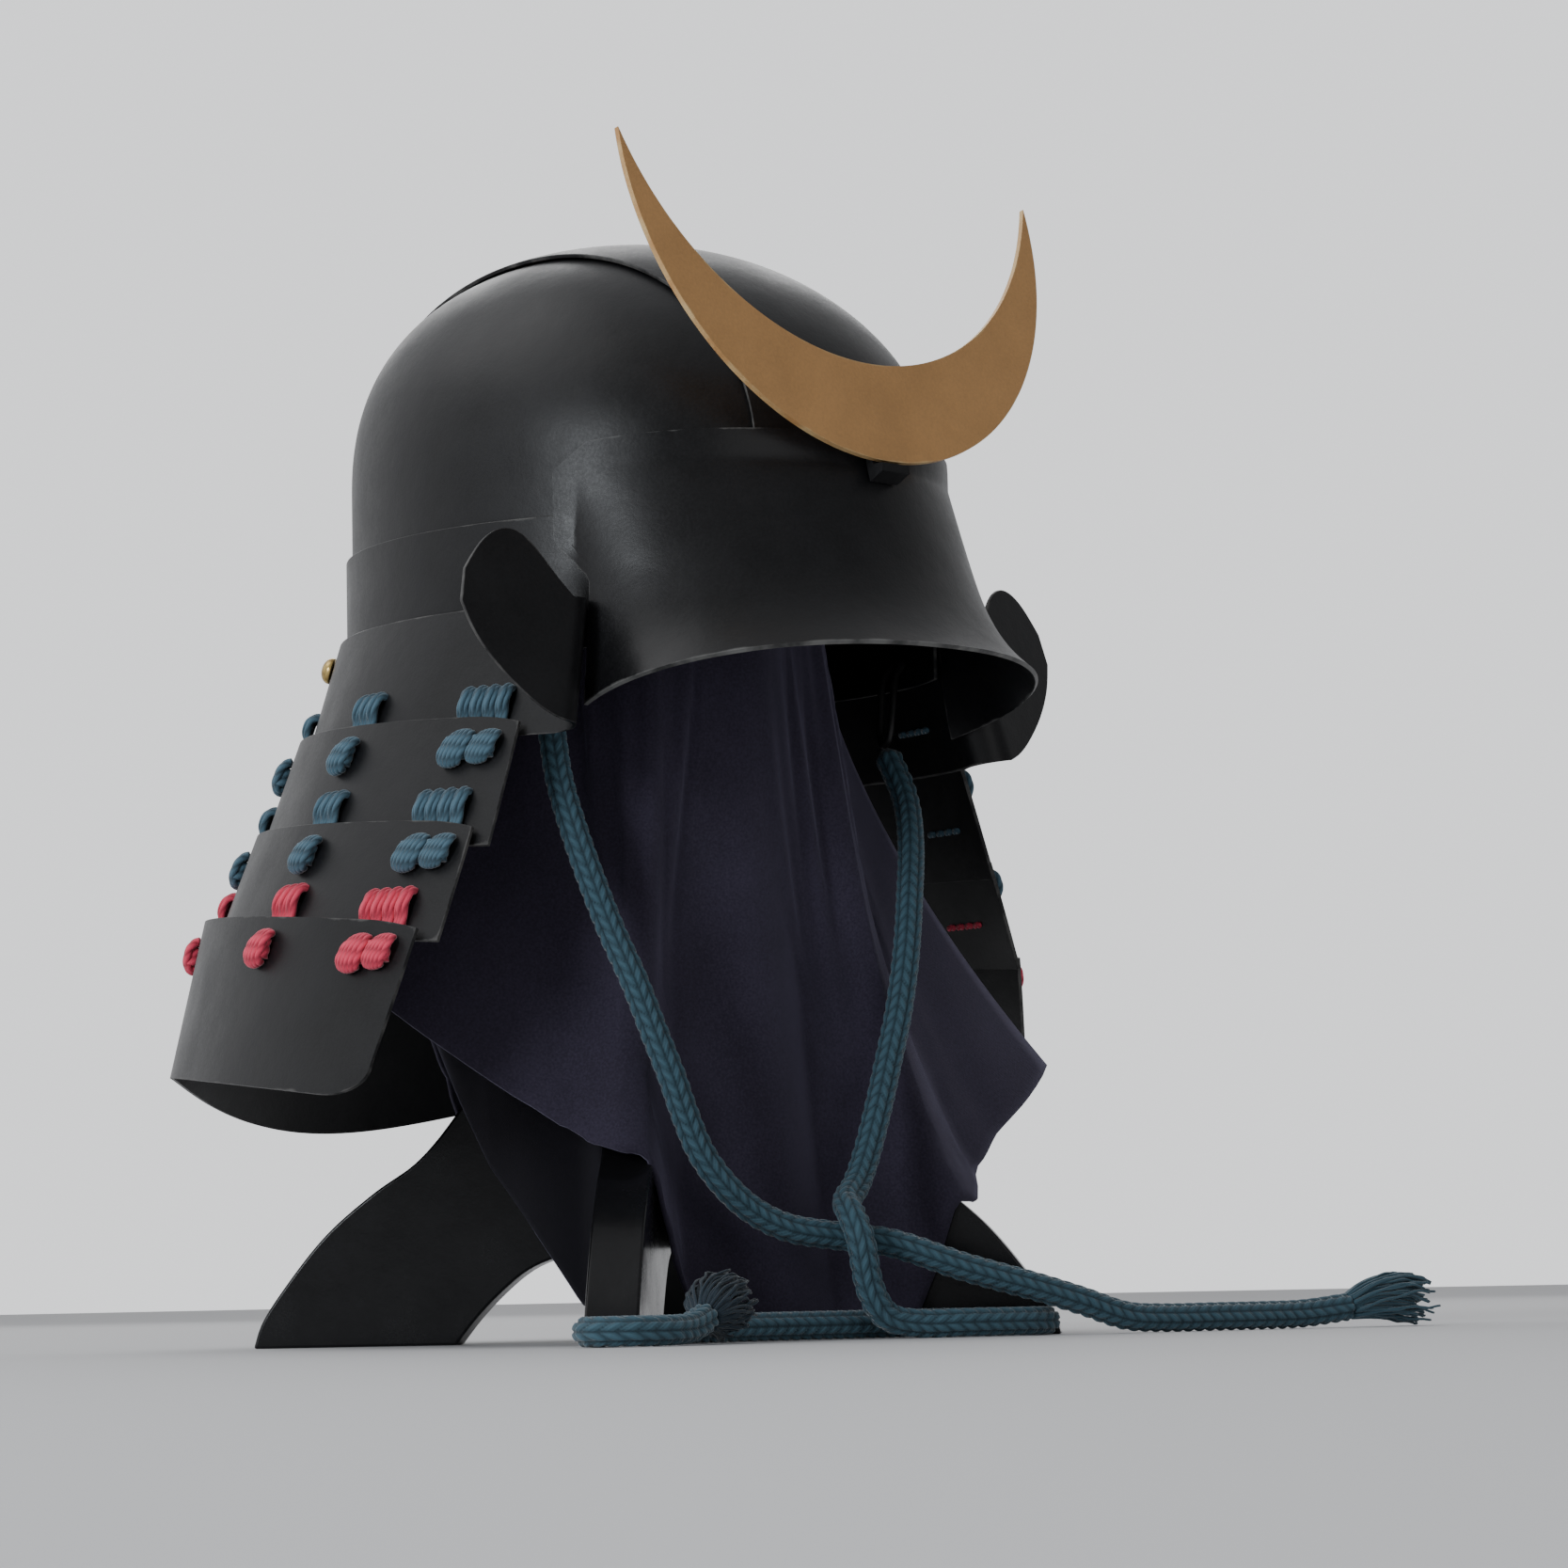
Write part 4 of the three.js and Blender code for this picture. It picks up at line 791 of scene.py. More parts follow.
def lace_piece(join, angle, strands, knots, name):
    """The lace of one column at one join: its bundles over the upper lame, its knots below."""
    upper, lower = LAMES[join], LAMES[join + 1]
    radius = HALF_WIDTH + 20 + lower["grow"]
    edge = top_edge(lower, angle)
    top = edge + LACE_LOOP
    parts, crowns = [], []

    def spot(sideways, out, z, base):
        return oval(angle + math.degrees(sideways / radius), z, lame_grow(base, z) + out)

    def lay(route, thick, turns):
        points, faces, crown = yarn(route, thick, turns)
        parts.append((points, faces))
        crowns.append(crown)

    bundles = round(strands * LACE_WIDTH / BUNDLE_WIDTH[strands])
    for bundle in range(bundles):
        middle = (bundle - (bundles - 1) / 2) * BUNDLE_WIDTH[strands]
        for k in (-1, 0, 1):
            across = k * YARN_PITCH
            swell = 1.2 if k == 0 else 0.1
            # Each point: how far aside, how far out from the lame, and how high
            over = [(across * 0.8 + LACE_LEAN, -2.4, top - 1.4),
                    (across * 0.9 + LACE_LEAN * 0.9, 0.7, top - 0.5 + swell * 0.6),
                    (across + LACE_LEAN * 0.6, LACE_GAP + LACE_PROUD * 0.8 + swell, top - 1.2),
                    (across + LACE_LEAN * 0.2, LACE_GAP + LACE_PROUD + swell, top - 3.6),
                    (across - LACE_LEAN * 0.4, LACE_GAP + LACE_PROUD + swell * 0.7, edge + 4.2),
                    (across * 0.95 - LACE_LEAN, LACE_GAP + 1.3, edge + 0.3),
                    (across * 0.9 - LACE_LEAN, LACE_GAP + 0.9, edge - 4)]
            lay([spot(middle + aside, out, z, upper) for aside, out, z in over], YARN, YARN_TURNS)
    centres = (-KNOT_SPACING / 2, KNOT_SPACING / 2) if knots == 2 else (0.0,)
    hand = 1 if angle < 0 else -1
    for number, centre in enumerate(centres):
        size = 1.0 if number == 0 else KNOT_SECOND_SIZE
        for k in range(KNOT_YARNS):
            across = (k - (KNOT_YARNS - 1) / 2) * KNOT_PITCH * size
            bulge = math.sqrt(max(0.0, 1 - (across / KNOT_HALF_WIDTH) ** 2))
            route = []
            for phi in np.linspace(0.02, 0.98, 9) * np.pi:
                rise, fall = math.sin(phi), math.cos(phi)
                aside = centre + across * (0.62 + 0.38 * rise) + KNOT_SLANT * fall * hand
                out = LACE_GAP + 0.2 + (KNOT_PROUD - 0.2) * size * rise ** 0.7 * (0.35 + 0.65 * bulge)
                z = edge - KNOT_DOWN + fall * KNOT_HALF_HEIGHT * size * (0.55 + 0.45 * bulge)
                route.append(spot(aside, out, z, lower))
            lay(route, KNOT_YARN * size, KNOT_TURNS)
        for sign in (-1, 1):
            core = centre + sign * KNOT_CORE_APART
            lay([spot(core, LACE_GAP + KNOT_CORE * 0.8, edge - KNOT_DOWN + t, lower)
                 for t in (-3.4, -1.2, 1.2, 3.4)], KNOT_CORE * size, 2)
    points, faces = join_meshes(parts)
    crown = np.concatenate(crowns)
    silk, silk_slot = (red_yarn, "red_lace") if join == RED_JOIN else (blue_yarn, "blue_lace")
    new_piece(f"{name}_cords", points, faces, silk, silk_slot, name,
              shading={"crown": crown, "ply": crown * 0})


for join in range(3):
    for column, lace in LACE_COLUMNS.items():
        for side, sign in (("right", -1), ("left", 1)):
            lace_piece(join, sign * lace["angles"][join], lace["strands"], lace["knots"],
                       f"lace_{join + 1}_{column}_{side}")
    lace_piece(join, BACK_ANGLE, 2, 1, f"lace_{join + 1}_back")

# Rivets: three domed brass heads, set from outside through the first lame and the waist band
# to hold the neck guard up. They are plain brass, tarnished in patches.
RIVET_ANGLES = {"rivet_right": -137, "rivet_left": 137, "rivet_back": 180}
RIVET_Z = 254.0
RIVET_SHANK = 2.0
RIVET_DEPTH = 5.4
RIVET_HEAD = 5.0
RIVET_DOME = 4.6
RIVET_SEAT = 0.3
RIVET_RIM = 1.1
rivet_brass, brass, feed_brass = new_material("rivet_brass")
BRASS = (0.62, 0.45, 0.17, 1)
TARNISHED_BRASS = (0.34, 0.23, 0.09, 1)
tarnish = brass.add("ShaderNodeTexNoise", None, Vector=brass.place(), Scale=420.0, Detail=4.0).outputs["Fac"]
feed_brass(Base_Color=brass.blend(brass.spread(tarnish, 0.4, 0.65, 0, 1), BRASS, TARNISHED_BRASS),
           Metallic=1.0, Roughness=brass.spread(tarnish, 0.35, 0.7, 0.24, 0.5))
for name, angle in RIVET_ANGLES.items():
    seat = oval(angle, RIVET_Z, lame_grow(first, RIVET_Z))
    ahead = oval(angle, RIVET_Z, lame_grow(first, RIVET_Z) + 10) - seat
    ahead /= np.linalg.norm(ahead)
    ahead[2] = first["slope"]
    ahead /= np.linalg.norm(ahead)
    shank = np.linspace(-RIVET_DEPTH, RIVET_SEAT, 4)
    dome = np.linspace(0, 1, 14)
    rim = RIVET_SEAT + (RIVET_RIM - RIVET_SEAT) * dome[1:4] / dome[3]
    rounding = dome[1:] * np.pi / 2
    line = np.concatenate([shank, rim, RIVET_RIM + (RIVET_DOME - RIVET_RIM) * np.sin(rounding)])
    width = np.concatenate([np.full(4, RIVET_SHANK), np.full(3, RIVET_HEAD),
                            np.maximum(RIVET_HEAD * np.cos(rounding), 0.12)])
    route = seat + ahead * line[:, None]
    points, faces = tube_mesh(route, np.repeat(width[:, None], 28, axis=1))
    new_piece(f"{name}_dome", points, faces, rivet_brass, "rivet_brass", name)

# Crescent: a flat crest sawn from sheet, finished in matte bronze-gold lacquer, slipped on
# the iron hook of the brow plate and leaning forward with it
CRESCENT_SPAN = 106.0
CRESCENT_HEIGHT = 115.0
CRESCENT_BELLY = 38.0
CRESCENT_THICK = 2.0
CRESCENT_FOOT = (0.0, -126.5, 313.0)
CRESCENT_LEAN = math.radians(14)
CRESCENT_EDGE = 0.5
TIP_BLUNT = 1.4
BRONZE_METALLIC = 0.25
bronze_gold = lacquer_material("bronze_gold", colour=(0.60, 0.325, 0.125), edge_colour=(0.75, 0.52, 0.25),
                               roughness=0.42, edge_width=0.75, peel_depth=0.30, mottle=0.10,
                               specular=0.5)
bronze_shader = bronze_gold.node_tree.nodes["Principled BSDF"]
bronze_shader.inputs["Metallic"].default_value = BRONZE_METALLIC
outer_radius = (CRESCENT_SPAN ** 2 + CRESCENT_HEIGHT ** 2) / (2 * CRESCENT_HEIGHT)
above_belly = CRESCENT_HEIGHT - CRESCENT_BELLY
inner_radius = (CRESCENT_SPAN ** 2 + above_belly ** 2) / (2 * above_belly)
outer_limit = math.pi / 2 + math.asin((CRESCENT_HEIGHT - outer_radius) / outer_radius)
inner_limit = math.asin((CRESCENT_SPAN - TIP_BLUNT) / inner_radius)
share = np.sin(np.linspace(-np.pi / 2, np.pi / 2, 150)) * 0.35 + np.linspace(-1, 1, 150) * 0.65
low_arc = np.stack([outer_radius * np.sin(share * outer_limit),
                    outer_radius - outer_radius * np.cos(share * outer_limit)], axis=1)
high_arc = np.stack([inner_radius * np.sin(share * inner_limit),
                     CRESCENT_BELLY + inner_radius - inner_radius * np.cos(share * inner_limit)], axis=1)
mix = np.linspace(0, 1, 12)[None, :, None]
flat_form = low_arc[:, None, :] * (1 - mix) + high_arc[:, None, :] * mix
lean_sine, lean_cosine = math.sin(CRESCENT_LEAN), math.cos(CRESCENT_LEAN)
sheets = []
for depth in (CRESCENT_THICK, 0.0):
    x, h = flat_form[..., 0], flat_form[..., 1]
    sheets.append(np.stack([x + CRESCENT_FOOT[0],
                            h * lean_sine - depth * lean_cosine + CRESCENT_FOOT[1],
                            h * lean_cosine + depth * lean_sine + CRESCENT_FOOT[2]], axis=-1))
points, faces = closed_sheet(*sheets)
edge = np.clip(1 - border_distance(sheets[0]).ravel() / EDGE_REACH, 0, 1)
crest = new_piece("crescent_plate", points, faces, bronze_gold, "bronze_gold", "crescent",
                  shading={"near_edge": np.concatenate([edge, edge])})
round_edges(crest, CRESCENT_EDGE)
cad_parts["crescent_hook"].material_slots[0].material = black_lacquer

# Wire loops: blackened iron wire bent to a hairpin, one behind each ear. Its two legs are held
# inside the waist band, and the chin cord is tied to the bend below.
LOOP_WIRE = 1.4
LOOP_ANGLE = 68.0
# Points along the hairpin: along the band, in from it, and the height
HAIRPIN = ((-5, 0, 256), (-5, 3.6, 250), (-5, 5, 238), (-4, 6, 228), (0, 6.4, 224),
           (4, 6, 228), (5, 5, 238), (5, 3.6, 250), (5, 0, 256))
blackened_wire = lacquer_material("blackened_wire", colour=(0.012, 0.012, 0.012), edge_colour=(0.1, 0.1, 0.1),
                                  roughness=0.32, edge_width=0.3, peel_depth=0.1)
for side, name in ((-1, "right"), (1, "left")):
    seat = oval(side * LOOP_ANGLE, 0, -LACE_GAP - LOOP_WIRE)
    along = oval(side * (LOOP_ANGLE + 1), 0) - oval(side * (LOOP_ANGLE - 1), 0)
    along /= np.linalg.norm(along)
    inward = np.array([-seat[0], -seat[1], 0]) / math.hypot(seat[0], seat[1])
    route = []
    for u, v, z in HAIRPIN:
        place = seat + along * u + inward * v
        route.append([place[0], place[1], z])
    route = smooth_route(route, 1.5)
    points, faces = tube_mesh(route, np.full((len(route), 14), LOOP_WIRE))
    new_piece(f"cord_loop_{name}_wire", points, faces, blackened_wire, "loop_wire", f"cord_loop_{name}")

# Chin cord: a 10 mm round silk braid of teal blue, its stitches lying in rows of Vs. Each
# side is tied to a wire loop behind the ears, and the two are loosely knotted in front of
# the cloth and laid out over the floor.
teal_yarn = yarn_material("teal_silk", groove_shade=(0.007, 0.023, 0.034), light=(0.062, 0.147, 0.198))
dark_yarn = yarn_material("dark_teal_silk", groove_shade=(0.003, 0.009, 0.015), light=(0.018, 0.040, 0.062))
CORD_THICK = 10.0
BRAID_COLUMNS = 8
STITCH = 5.2
STITCH_SLANT = 0.95
STITCH_PLIES = 3
STITCH_GROOVE = 0.875
STITCH_CROWN = 0.19
TAPER_ROWS = 6
cord_right_route = [
    [-87, -40.5, 222.2], [-88, -46, 200], [-87, -52, 182], [-84, -57, 165], [-80, -63, 146],
    [-75, -69, 128], [-69, -73, 109], [-63, -75, 94], [-58, -76, 81], [-52, -78, 67], [-43, -81, 55],
    [-32, -84, 46], [-20, -89, 40], [-3, -96, 37], [12, -109, 34], [34, -124, 25], [60, -137, 17],
    [76, -143, 12], [94, -148, 6.4], [112, -151, 5.3], [136, -155, 5.3], [158, -158, 5.3],
    [180, -161, 5.6], [200, -166, 7.6]]
cord_left_route = [
    [87, -40.5, 222.2], [85, -52, 203], [77, -62, 186], [64, -73, 163], [54, -80, 141],
    [46, -83, 119], [38, -85, 101], [28, -88, 81], [19, -90, 64], [11, -93, 55], [1.2, -97.7, 49.2],
    [-5, -106, 44.4], [-7.5, -112.4, 36], [-4, -114, 17], [2, -116, 8], [12, -121, 5.3],
    [26, -129, 5.3], [44, -134, 5.3], [58, -135, 5.3], [71, -130, 5.3], [75, -119, 5.3],
    [69, -109, 5.3], [56, -105, 5.3], [30, -101, 5.3], [0, -100, 5.3], [-30, -98, 5.3],
    [-60, -98, 5.3], [-88, -102.5, 5.3], [-111, -111.5, 5.3], [-133, -113, 5.3], [-146, -118, 5.3],
    [-151, -128, 5.3], [-145, -138, 5.3], [-132, -141, 5.3], [-117, -137, 6], [-105, -132.5, 9]]
fray_right_route = [[200.9, -166.2, 7.7], [212, -168.5, 10.5], [226, -171, 11], [240, -173, 8.5]]
fray_left_route = [[-104.1, -132.1, 9.2], [-98, -128.5, 11.5], [-90, -124.5, 13.2], [-82, -121.5, 13]]


def braid(route_points):
    """A braid of stitches in rows of Vs along a route, with its crown and ply values."""
    route = smooth_route(route_points, 0.85)
    sides = 40
    along = np.arange(len(route)) * np.linalg.norm(np.diff(route[:2], axis=0)) / STITCH
    column = np.arange(sides) / sides * BRAID_COLUMNS
    inside = column % 1 - 0.5
    slant = np.where(np.floor(column).astype(int) % 2 == 0, 1.0, -1.0) * inside
    phase = along[:, None] + STITCH_SLANT * slant[None, :]
    # The crown value raises the stitches and, in the yarn material, paints shade into the grooves between
    # them
    crown = np.abs(np.cos(np.pi * phase)) ** 0.7 * (np.cos(np.pi * inside)[None, :]) ** 0.35
    radius = CORD_THICK / 2 * (STITCH_GROOVE + STITCH_CROWN * crown)
    taper = np.minimum(1, (np.arange(len(route)) + 2) / TAPER_ROWS)[:, None]
    points, faces = tube_mesh(route, radius * taper)
    return route, points, faces, crown, phase * STITCH_PLIES


STRAND_RADIUS = 0.62
STRAND_SIDES = 5
STRAND_LOWEST = 0.75


def frayed_end(route_points, spread, strand_count, seed):
    """Loosened yarns past the braid's end: crimped strands that fan out and droop."""
    random = np.random.default_rng(seed)
    core = smooth_route(route_points, 1.2)
    first, second = carried_frames(core)
    share = np.linspace(0, 1, len(core))
    parts, crowns = [], []
    for _ in range(strand_count):
        angle = random.uniform(0, 2 * np.pi)
        out = np.sqrt(random.uniform(0.02, 1))
        reach = random.uniform(0.72, 1.0)
        last = max(4, int(reach * len(core)))
        widen = (CORD_THICK * 0.44) * (1 + (spread - 1) * np.sin(share * np.pi * 0.62) ** 0.9)
        crimp = random.uniform(0.35, 0.8)
        wave = crimp * np.sin(share * random.uniform(14, 24) + random.uniform(0, 6.3)) * share
        wave_b = crimp * np.sin(share * random.uniform(12, 20) + random.uniform(0, 6.3)) * share
        angle_here = angle + random.uniform(-0.9, 0.9) * share
        strand = (core + first * (out * widen * np.cos(angle_here) + wave)[:, None]
                  + second * (out * widen * np.sin(angle_here) + wave_b)[:, None])[:last]
        strand[:, 2] = np.maximum(strand[:, 2], STRAND_LOWEST)
        rows = len(strand)
        radius = np.full((rows, STRAND_SIDES), STRAND_RADIUS) * np.linspace(1, 0.75, rows)[:, None]
        parts.append(tube_mesh(strand, radius))
        # Strands near the core get a low crown value and so a painted shade inside the bundle, with some
        # random spread
        crowns.append(np.full(rows * STRAND_SIDES, 0.25 + 0.6 * out * random.uniform(0.6, 1)))
    points, faces = join_meshes(parts)
    crown = np.concatenate(crowns)
    return points, faces, {"crown": crown, "ply": crown * 0}


CORD_SIDES = {
    "right": {"route": cord_right_route, "end": fray_right_route, "end_yarn": teal_yarn, "spread": 2.1,
              "strands": 150, "seed": 11},
    "left": {"route": cord_left_route, "end": fray_left_route, "end_yarn": dark_yarn, "spread": 2.75,
             "strands": 230, "seed": 12}}
for side, run in CORD_SIDES.items():
    points, faces, shading = frayed_end(run["end"], run["spread"], run["strands"], run["seed"])
    fray = new_piece(f"cord_fray_{side}_yarns", points, faces, run["end_yarn"], "teal_cord",
                     f"cord_fray_{side}", shading=shading)
    route, points, faces, crown, ply = braid(run["route"])
    cord = new_piece(f"cord_{side}_braid", points, faces, teal_yarn, "teal_cord", f"cord_{side}",
                     shading={"crown": crown, "ply": ply})

# Stand: two sawn boards halved into each other, a turned post and a rounded head, all in
# gloss black lacquer
PLANK_THICK = 19.0
FOOT_SPAN = 150.0
STAND_TURN = -5.0
PLANK_TOP_Z = 118.0
HALVING_Z = 76.0
HALVING_GAP = 0.3
ARCH_TOP_Z = 34.5
BOARD_EDGE = 1.1
# The board's flank, by how far in from the foot's tip and how high, and the arch under it
FLANK = ((0, 0), (3, 9), (13, 24), (28, 42), (46, 57), (62, 68), (76, 84), (86, 100), (92, PLANK_TOP_Z))
ARCH = ((24, 34), (38, 31), (47, 27), (56, 20), (66, 10), (74, 0))
stand_black = lacquer_material("stand_black", colour=(0.007, 0.007, 0.008), edge_colour=(0.04, 0.04, 0.04),
                               roughness=0.22, edge_width=0.5, peel_depth=0.06, coat=0.25, specular=0.2)


def board_outline(slot_from_top):
    """The outline of one board, with the slot of the halving cut from above or from below."""
    def curved(line):
        return smooth_route([[x, 0, z] for x, z in line], 3.0)[:, [0, 2]].tolist()

    slot = PLANK_THICK / 2 + HALVING_GAP
    right = curved([(FOOT_SPAN - inward, z) for inward, z in FLANK])
    under = curved(ARCH)
    if slot_from_top:
        right += [[slot, PLANK_TOP_Z], [slot, HALVING_Z - HALVING_GAP / 2]]
    else:
        under = [[slot, HALVING_Z + HALVING_GAP / 2], [slot, ARCH_TOP_Z]] + under
    mirrored = [[-x, z] for x, z in reversed(right)]
    mirrored_under = [[-x, z] for x, z in reversed(under)]
    return right + mirrored + mirrored_under + under


for name, turned, from_top in (("stand_plank_a", 45, True), ("stand_plank_b", -45, False)):
    outline = board_outline(from_top)
    heading = math.radians(turned + STAND_TURN)
    along = np.array([math.cos(heading), math.sin(heading), 0])
    across_board = np.array([-math.sin(heading), math.cos(heading), 0])
    count = len(outline)
    points = np.array([along * x + across_board * half + np.array([0, 0, z])
                       for half in (PLANK_THICK / 2, -PLANK_THICK / 2) for x, z in outline])
    faces = [list(range(count)), [count + k for k in reversed(range(count))]]
    faces += [[(k + 1) % count, k, count + k, count + (k + 1) % count] for k in range(count)]
    board = new_piece(f"{name}_board", points, faces, stand_black, "stand_black", name)
    round_edges(board, BOARD_EDGE, 3)
for name in ("stand_post", "stand_head"):
    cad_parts[name].material_slots[0].material = stand_black

# Cloth: one square of fine dark navy cotton laid over the head and hanging in soft folds to a
# hem that lies on the boards. Its near corner is folded under and shows below the outer layer.
UNDER_CROWN = 0.4
CLOTH_TOP = EQUATOR_Z + RISE - UNDER_CROWN
CLOTH_THICK = 1.5
CLOTH_CROWN_RADIUS = [0, 12, 24, 35, 45, 53, 59, 62]
CLOTH_CROWN_DROP = [0, 1, 4, 9, 16.5, 26, 37, 50]
CLOTH_WAIST = 60.0
CLOTH_FLARE = 2.1
NECK_FULLNESS = 2.0
FOLD_SHARE = 0.55
HEM_ANGLE = [-180, -165, -150, -135, -115, -97, -84, -74, -65, -58, -50, -44.5, -42.5, -39, -34, -27, -14, 0,
             14, 25, 30, 33, 40, 48, 56, 62, 67, 72, 78, 92, 110, 130, 145, 163, 180]
HEM_RADIUS = [84, 84, 86, 94, 118, 133, 118, 110, 106, 106, 106, 101, 98, 88, 82, 81, 80, 82,
              84, 95, 105, 118, 125, 128, 140, 156, 170, 150, 125, 112, 104, 101, 91, 84, 84]
HEM_HEIGHT = [60, 75, 100, 121, 131, 132, 108, 91, 78, 71, 68, 67, 55, 36, 14, 6, 5, 5,
              5, 5, 8, 49, 48, 60, 78, 92, 105, 116, 124, 128, 112, 92, 72, 60, 60]
# Soft folds from the neck down: angle, how far they stand out, half width in degrees
FOLDS = ((-88, 7, 13), (-64, -5, 11), (-44, 5, 12), (-22, -5, 10), (-4, 4, 10), (16, -5, 9),
         (36, 5, 10), (52, -5, 8), (92, -4, 12), (118, 5, 14), (150, -5, 14), (-128, -5, 15),
         (-158, 5, 13))
AROUND = 220
CROWN_ROWS = 22
HANGING_ROWS = 70
crown_rows = len(CLOTH_CROWN_RADIUS) - 1


def cloth_point(angle, s):
    """A point of the cloth by its angle and its row, over the crown first and then down."""
    a = math.radians(angle)
    hem_r = np.interp(angle, HEM_ANGLE, HEM_RADIUS)
    hem_z = np.interp(angle, HEM_ANGLE, HEM_HEIGHT)
    r = np.interp(s, range(crown_rows + 1), CLOTH_CROWN_RADIUS)
    z = CLOTH_TOP - np.interp(s, range(crown_rows + 1), CLOTH_CROWN_DROP)
    hang = s - crown_rows
    if hang > 0:
        z = CLOTH_TOP - CLOTH_CROWN_DROP[-1] + (hem_z - CLOTH_TOP + CLOTH_CROWN_DROP[-1]) * hang
        waist = CLOTH_WAIST + NECK_FULLNESS * max(0.0, 1 - hang * 5)
        r = waist + (hem_r - waist) * hang ** CLOTH_FLARE
        fold = sum(depth * math.exp(-((angle - at) / width) ** 2) for at, depth, width in FOLDS)
        r += fold * math.sin(min(hang, 1) * math.pi * 0.62) ** 1.3 * FOLD_SHARE
    return np.array([r * math.sin(a), -r * math.cos(a), z])


angles = -180 + 360 * np.arange(AROUND) / AROUND
levels = np.concatenate([np.linspace(0.35, crown_rows, CROWN_ROWS),
                         crown_rows + np.linspace(0, 1, HANGING_ROWS + 1)[1:]])
drape = np.array([[cloth_point(a, s) for s in levels] for a in angles])

# The folded-under corner hangs lower than the hem, a little way behind the outer layer
TUCK_TOP_Z = 150.0
TUCK_BEHIND = 11.0
TUCK_SPREAD = 7.0
TUCK_RIPPLE = 2.2
TUCK_ANGLE = [-106, -100, -92, -85, -75, -67, -62, -60]
TUCK_RADIUS = [100, 98, 94, 90, 76, 67, 64, 63]
TUCK_HEM = [132, 117, 88, 64, 34, 14, 9, 9]
TUCK_COLUMNS = 40
TUCK_ROWS = 34


def tuck_point(angle, share):
    """A point of the folded-under corner by its angle and how far down it is."""
    a = math.radians(angle)
    hem_r = np.interp(angle, TUCK_ANGLE, TUCK_RADIUS)
    hem_z = np.interp(angle, TUCK_ANGLE, TUCK_HEM)
    outer_z = np.interp(angle, HEM_ANGLE, HEM_HEIGHT)
    neck_z = CLOTH_TOP - CLOTH_CROWN_DROP[-1]
    top = cloth_point(angle, crown_rows + (neck_z - TUCK_TOP_Z) / (neck_z - outer_z))
    top_r = math.hypot(top[0], top[1]) - TUCK_BEHIND
    ripple = TUCK_RIPPLE * math.sin(angle * 0.3) * math.sin(share * math.pi)
    r = top_r + (min(hem_r, top_r + TUCK_SPREAD) - top_r) * share + ripple
    return np.array([r * math.sin(a), -r * math.cos(a), TUCK_TOP_Z + (hem_z - TUCK_TOP_Z) * share])


def column_faces(here, there, count):
    """The faces between two columns of points, given by their first points."""
    return [(here + k, here + k + 1, there + k + 1, there + k) for k in range(count - 1)]


tuck = np.array([[tuck_point(a, t) for t in np.linspace(0, 1, TUCK_ROWS)]
                 for a in np.linspace(TUCK_ANGLE[0], TUCK_ANGLE[-1], TUCK_COLUMNS)])
crown_point = np.array([[0, 0, CLOTH_TOP]])
points = np.concatenate([drape.reshape(-1, 3), crown_point, tuck.reshape(-1, 3)])
rows = len(levels)
faces = []
for i in range(AROUND):
    j = (i + 1) % AROUND
    faces += column_faces(i * rows, j * rows, rows)
    faces.append((i * rows, j * rows, AROUND * rows))
first_of_tuck = AROUND * rows + 1
for i in range(TUCK_COLUMNS - 1):
    here = first_of_tuck + i * TUCK_ROWS
    faces += column_faces(here, here + TUCK_ROWS, TUCK_ROWS)

# Plain weave: threads cross every half millimetre, in a navy that the dye took unevenly
NAVY = (0.018, 0.0135, 0.030, 1)
PALER_NAVY = (0.038, 0.030, 0.058, 1)
SHADED_NAVY = (0.006, 0.005, 0.009, 1)
SHEEN = (0.55, 0.52, 0.75, 1)
navy_cloth, weave, feed_cloth = new_material("navy_cloth")
cloth_mottle = weave.group(fibre_group, Scale=1100.0, Patch_Scale=26.0).outputs["Value"]
warp = weave.math("SINE", weave.math("MULTIPLY", weave.attribute("warp"), 2 * math.pi))
weft = weave.math("SINE", weave.math("MULTIPLY", weave.attribute("weft"), 2 * math.pi))
threads = weave.math("MULTIPLY", weave.math("MULTIPLY", warp, weft), 0.5)
cloth_relief = weave.add("ShaderNodeBump", None, Strength=0.35, Distance=0.0004,
                         Height=weave.math("ADD", threads, cloth_mottle))
uneven = weave.math("ADD", cloth_mottle, weave.math("MULTIPLY", threads, 0.08))
dye = weave.blend(weave.spread(uneven, 0.38, 0.66, 0, 1), NAVY, PALER_NAVY)
# The folded-under corner is blended to a shaded navy: painted shade, as it hangs in the outer layer's shadow
feed_cloth(Base_Color=weave.blend(weave.attribute("reverse"), dye, SHADED_NAVY), Roughness=0.88,
           Normal=cloth_relief.outputs[0], Sheen_Weight=0.5, Sheen_Roughness=0.45, Sheen_Tint=SHEEN)
THREADS_PER_DEGREE = 3.0
THREADS_PER_MM = 2.0
tuck_size = TUCK_COLUMNS * TUCK_ROWS
# 1 on the folded-under corner's points, where the painted shade goes
reverse = np.concatenate([np.zeros(first_of_tuck), np.ones(tuck_size)])
lengthwise = np.concatenate([np.repeat(angles, rows), [0],
                             np.repeat(np.arange(TUCK_COLUMNS), TUCK_ROWS)]) * THREADS_PER_DEGREE


def distance_down(grid):
    """How far each point of a grid lies from the top of its own column."""
    steps = np.linalg.norm(np.diff(grid, axis=1), axis=-1)
    return np.cumsum(np.pad(steps, ((0, 0), (1, 0))), axis=1).ravel()


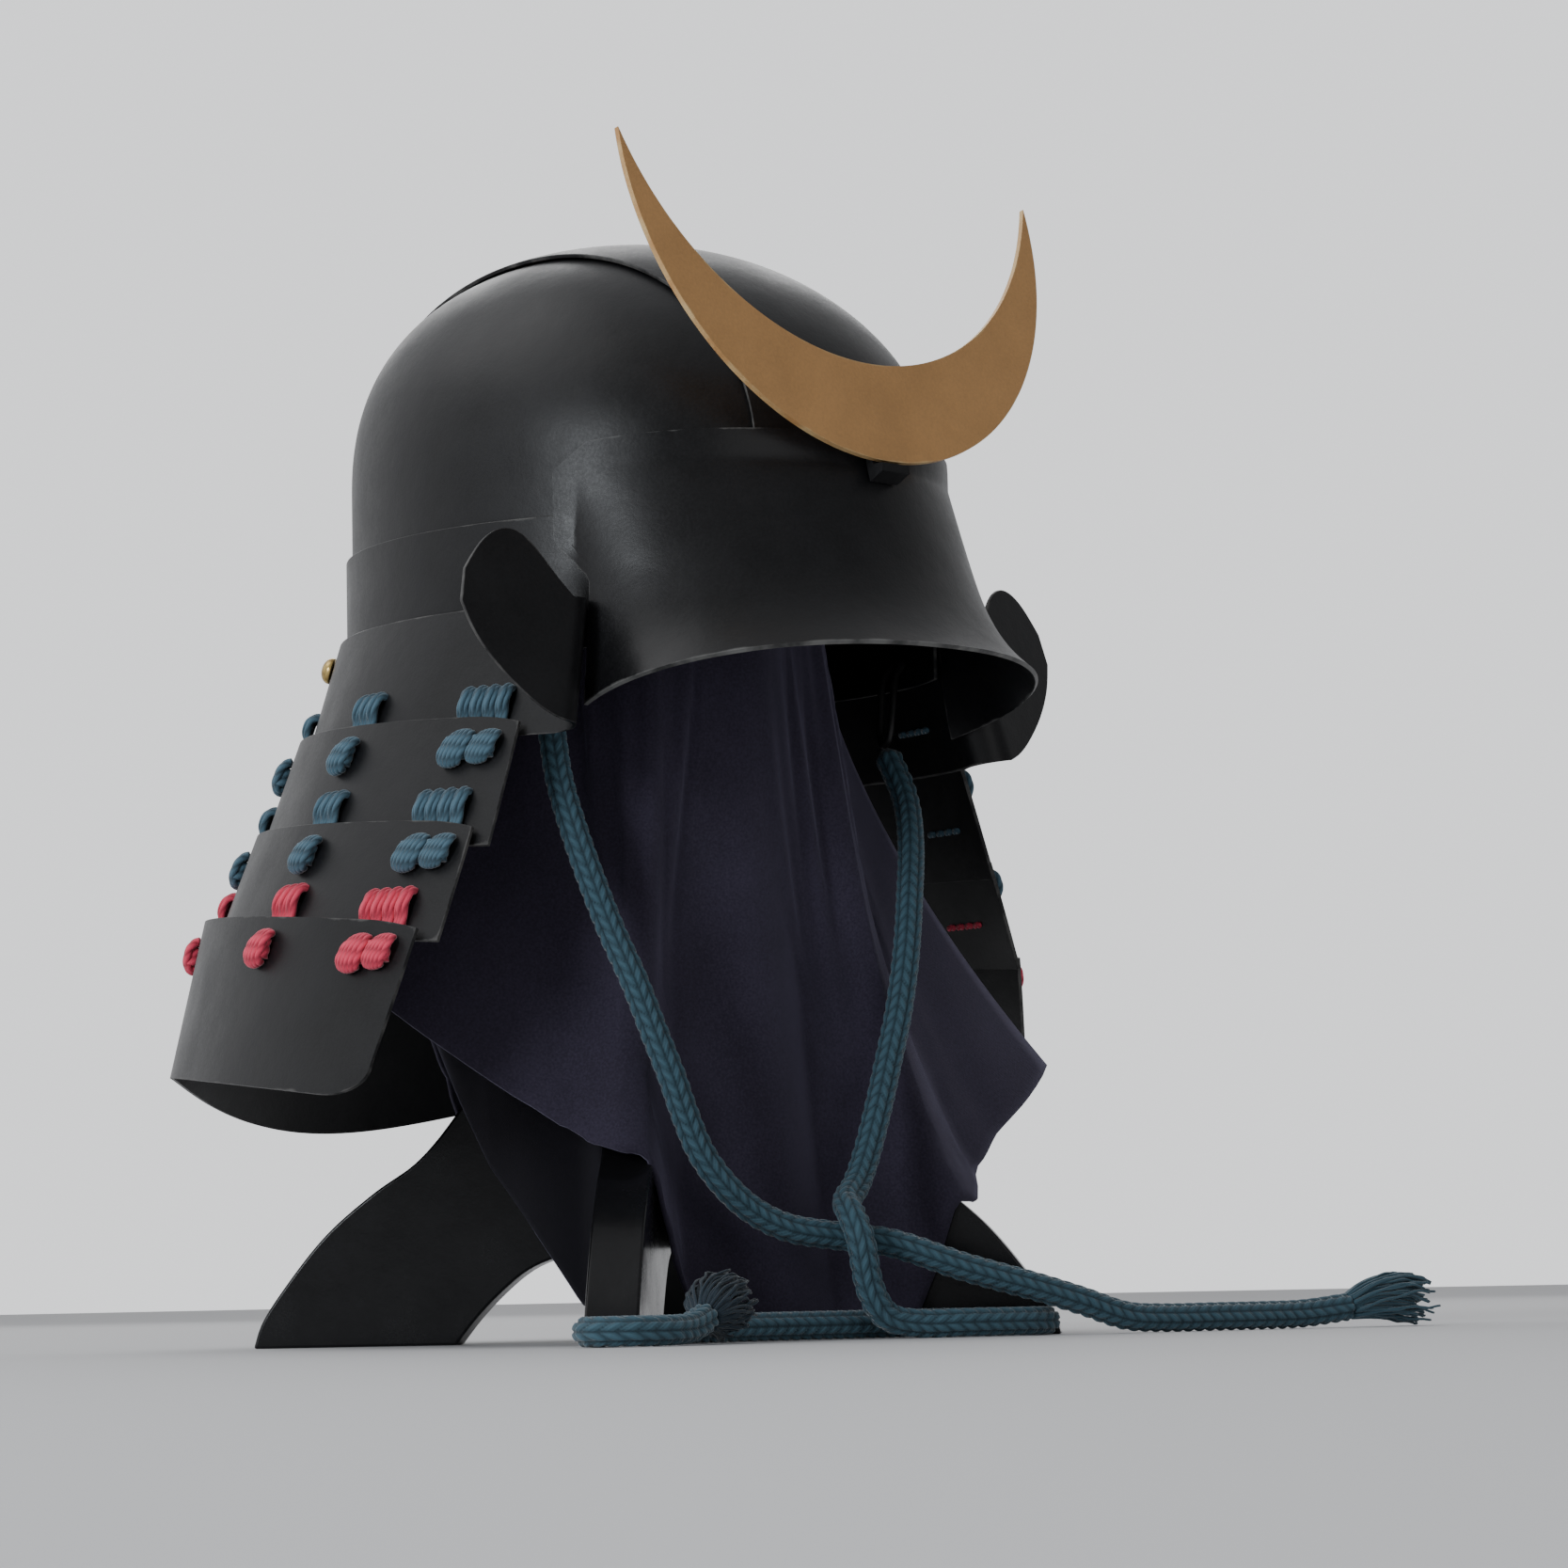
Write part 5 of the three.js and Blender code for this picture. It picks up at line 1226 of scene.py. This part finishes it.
crosswise = np.concatenate([distance_down(drape), [0], distance_down(tuck)]) * THREADS_PER_MM
cloth = new_piece("stand_cloth_drape", points, faces, navy_cloth, "navy_cloth", "stand_cloth",
                  shading={"reverse": reverse, "warp": lengthwise, "weft": crosswise})


def settle(piece, supports, held, frames, spare, reach):
    """Let the cloth hang for a moment over its supports; no point moves further than reach."""
    skin = 0.0012
    start = np.empty(len(piece.data.vertices) * 3)
    piece.data.vertices.foreach_get("co", start)
    pins = piece.vertex_groups.new(name="held")
    for index, weight in enumerate(held):
        if weight > 0:
            pins.add([index], float(weight), "REPLACE")
    blocks = []
    for support in supports:
        block = bpy.data.objects.new(f"{support.name}_block", support.data.copy())
        bpy.context.scene.collection.objects.link(block)
        block.modifiers.new("block", "COLLISION")
        block.collision.thickness_outer = skin
        block.collision.cloth_friction = 20
        blocks.append(block)
    hang = piece.modifiers.new("hang", "CLOTH")
    hang.settings.quality = 6
    hang.settings.mass = 0.12
    hang.settings.tension_stiffness = hang.settings.compression_stiffness = 12
    hang.settings.shear_stiffness = 4
    hang.settings.bending_stiffness = 0.12
    hang.settings.air_damping = 6
    hang.settings.shrink_min = -spare
    hang.settings.vertex_group_mass = "held"
    hang.collision_settings.distance_min = skin
    hang.point_cache.frame_start, hang.point_cache.frame_end = 1, frames
    for number in range(1, frames + 1):
        bpy.context.scene.frame_set(number)
    hung = piece.evaluated_get(bpy.context.evaluated_depsgraph_get()).data
    end = np.empty(len(hung.vertices) * 3)
    hung.vertices.foreach_get("co", end)
    move = (end - start).reshape(-1, 3)
    size = np.linalg.norm(move, axis=1, keepdims=True)
    move *= reach * np.tanh(size / reach) / np.maximum(size, 1e-9)
    piece.modifiers.remove(hang)
    piece.vertex_groups.remove(pins)
    piece.data.vertices.foreach_set("co", (start.reshape(-1, 3) + move).ravel())
    piece.data.update()
    for block in blocks:
        bpy.data.objects.remove(block)
    bpy.context.scene.frame_set(1)


HELD_SHARE = 0.5
row_held = np.clip((crown_rows + HELD_SHARE - levels) / HELD_SHARE, 0, 1)
held = np.concatenate([np.tile(row_held, AROUND), [1.0], np.ones(tuck_size)])
supports = [bpy.data.objects[name]
            for name in ("stand_plank_a_board", "stand_plank_b_board", "stand_head")]
settle(cloth, supports, held, frames=18, spare=0.02, reach=0.007)
wall = cloth.modifiers.new("cloth_thickness", "SOLIDIFY")
wall.thickness = CLOTH_THICK * 0.001
wall.offset = -1.0
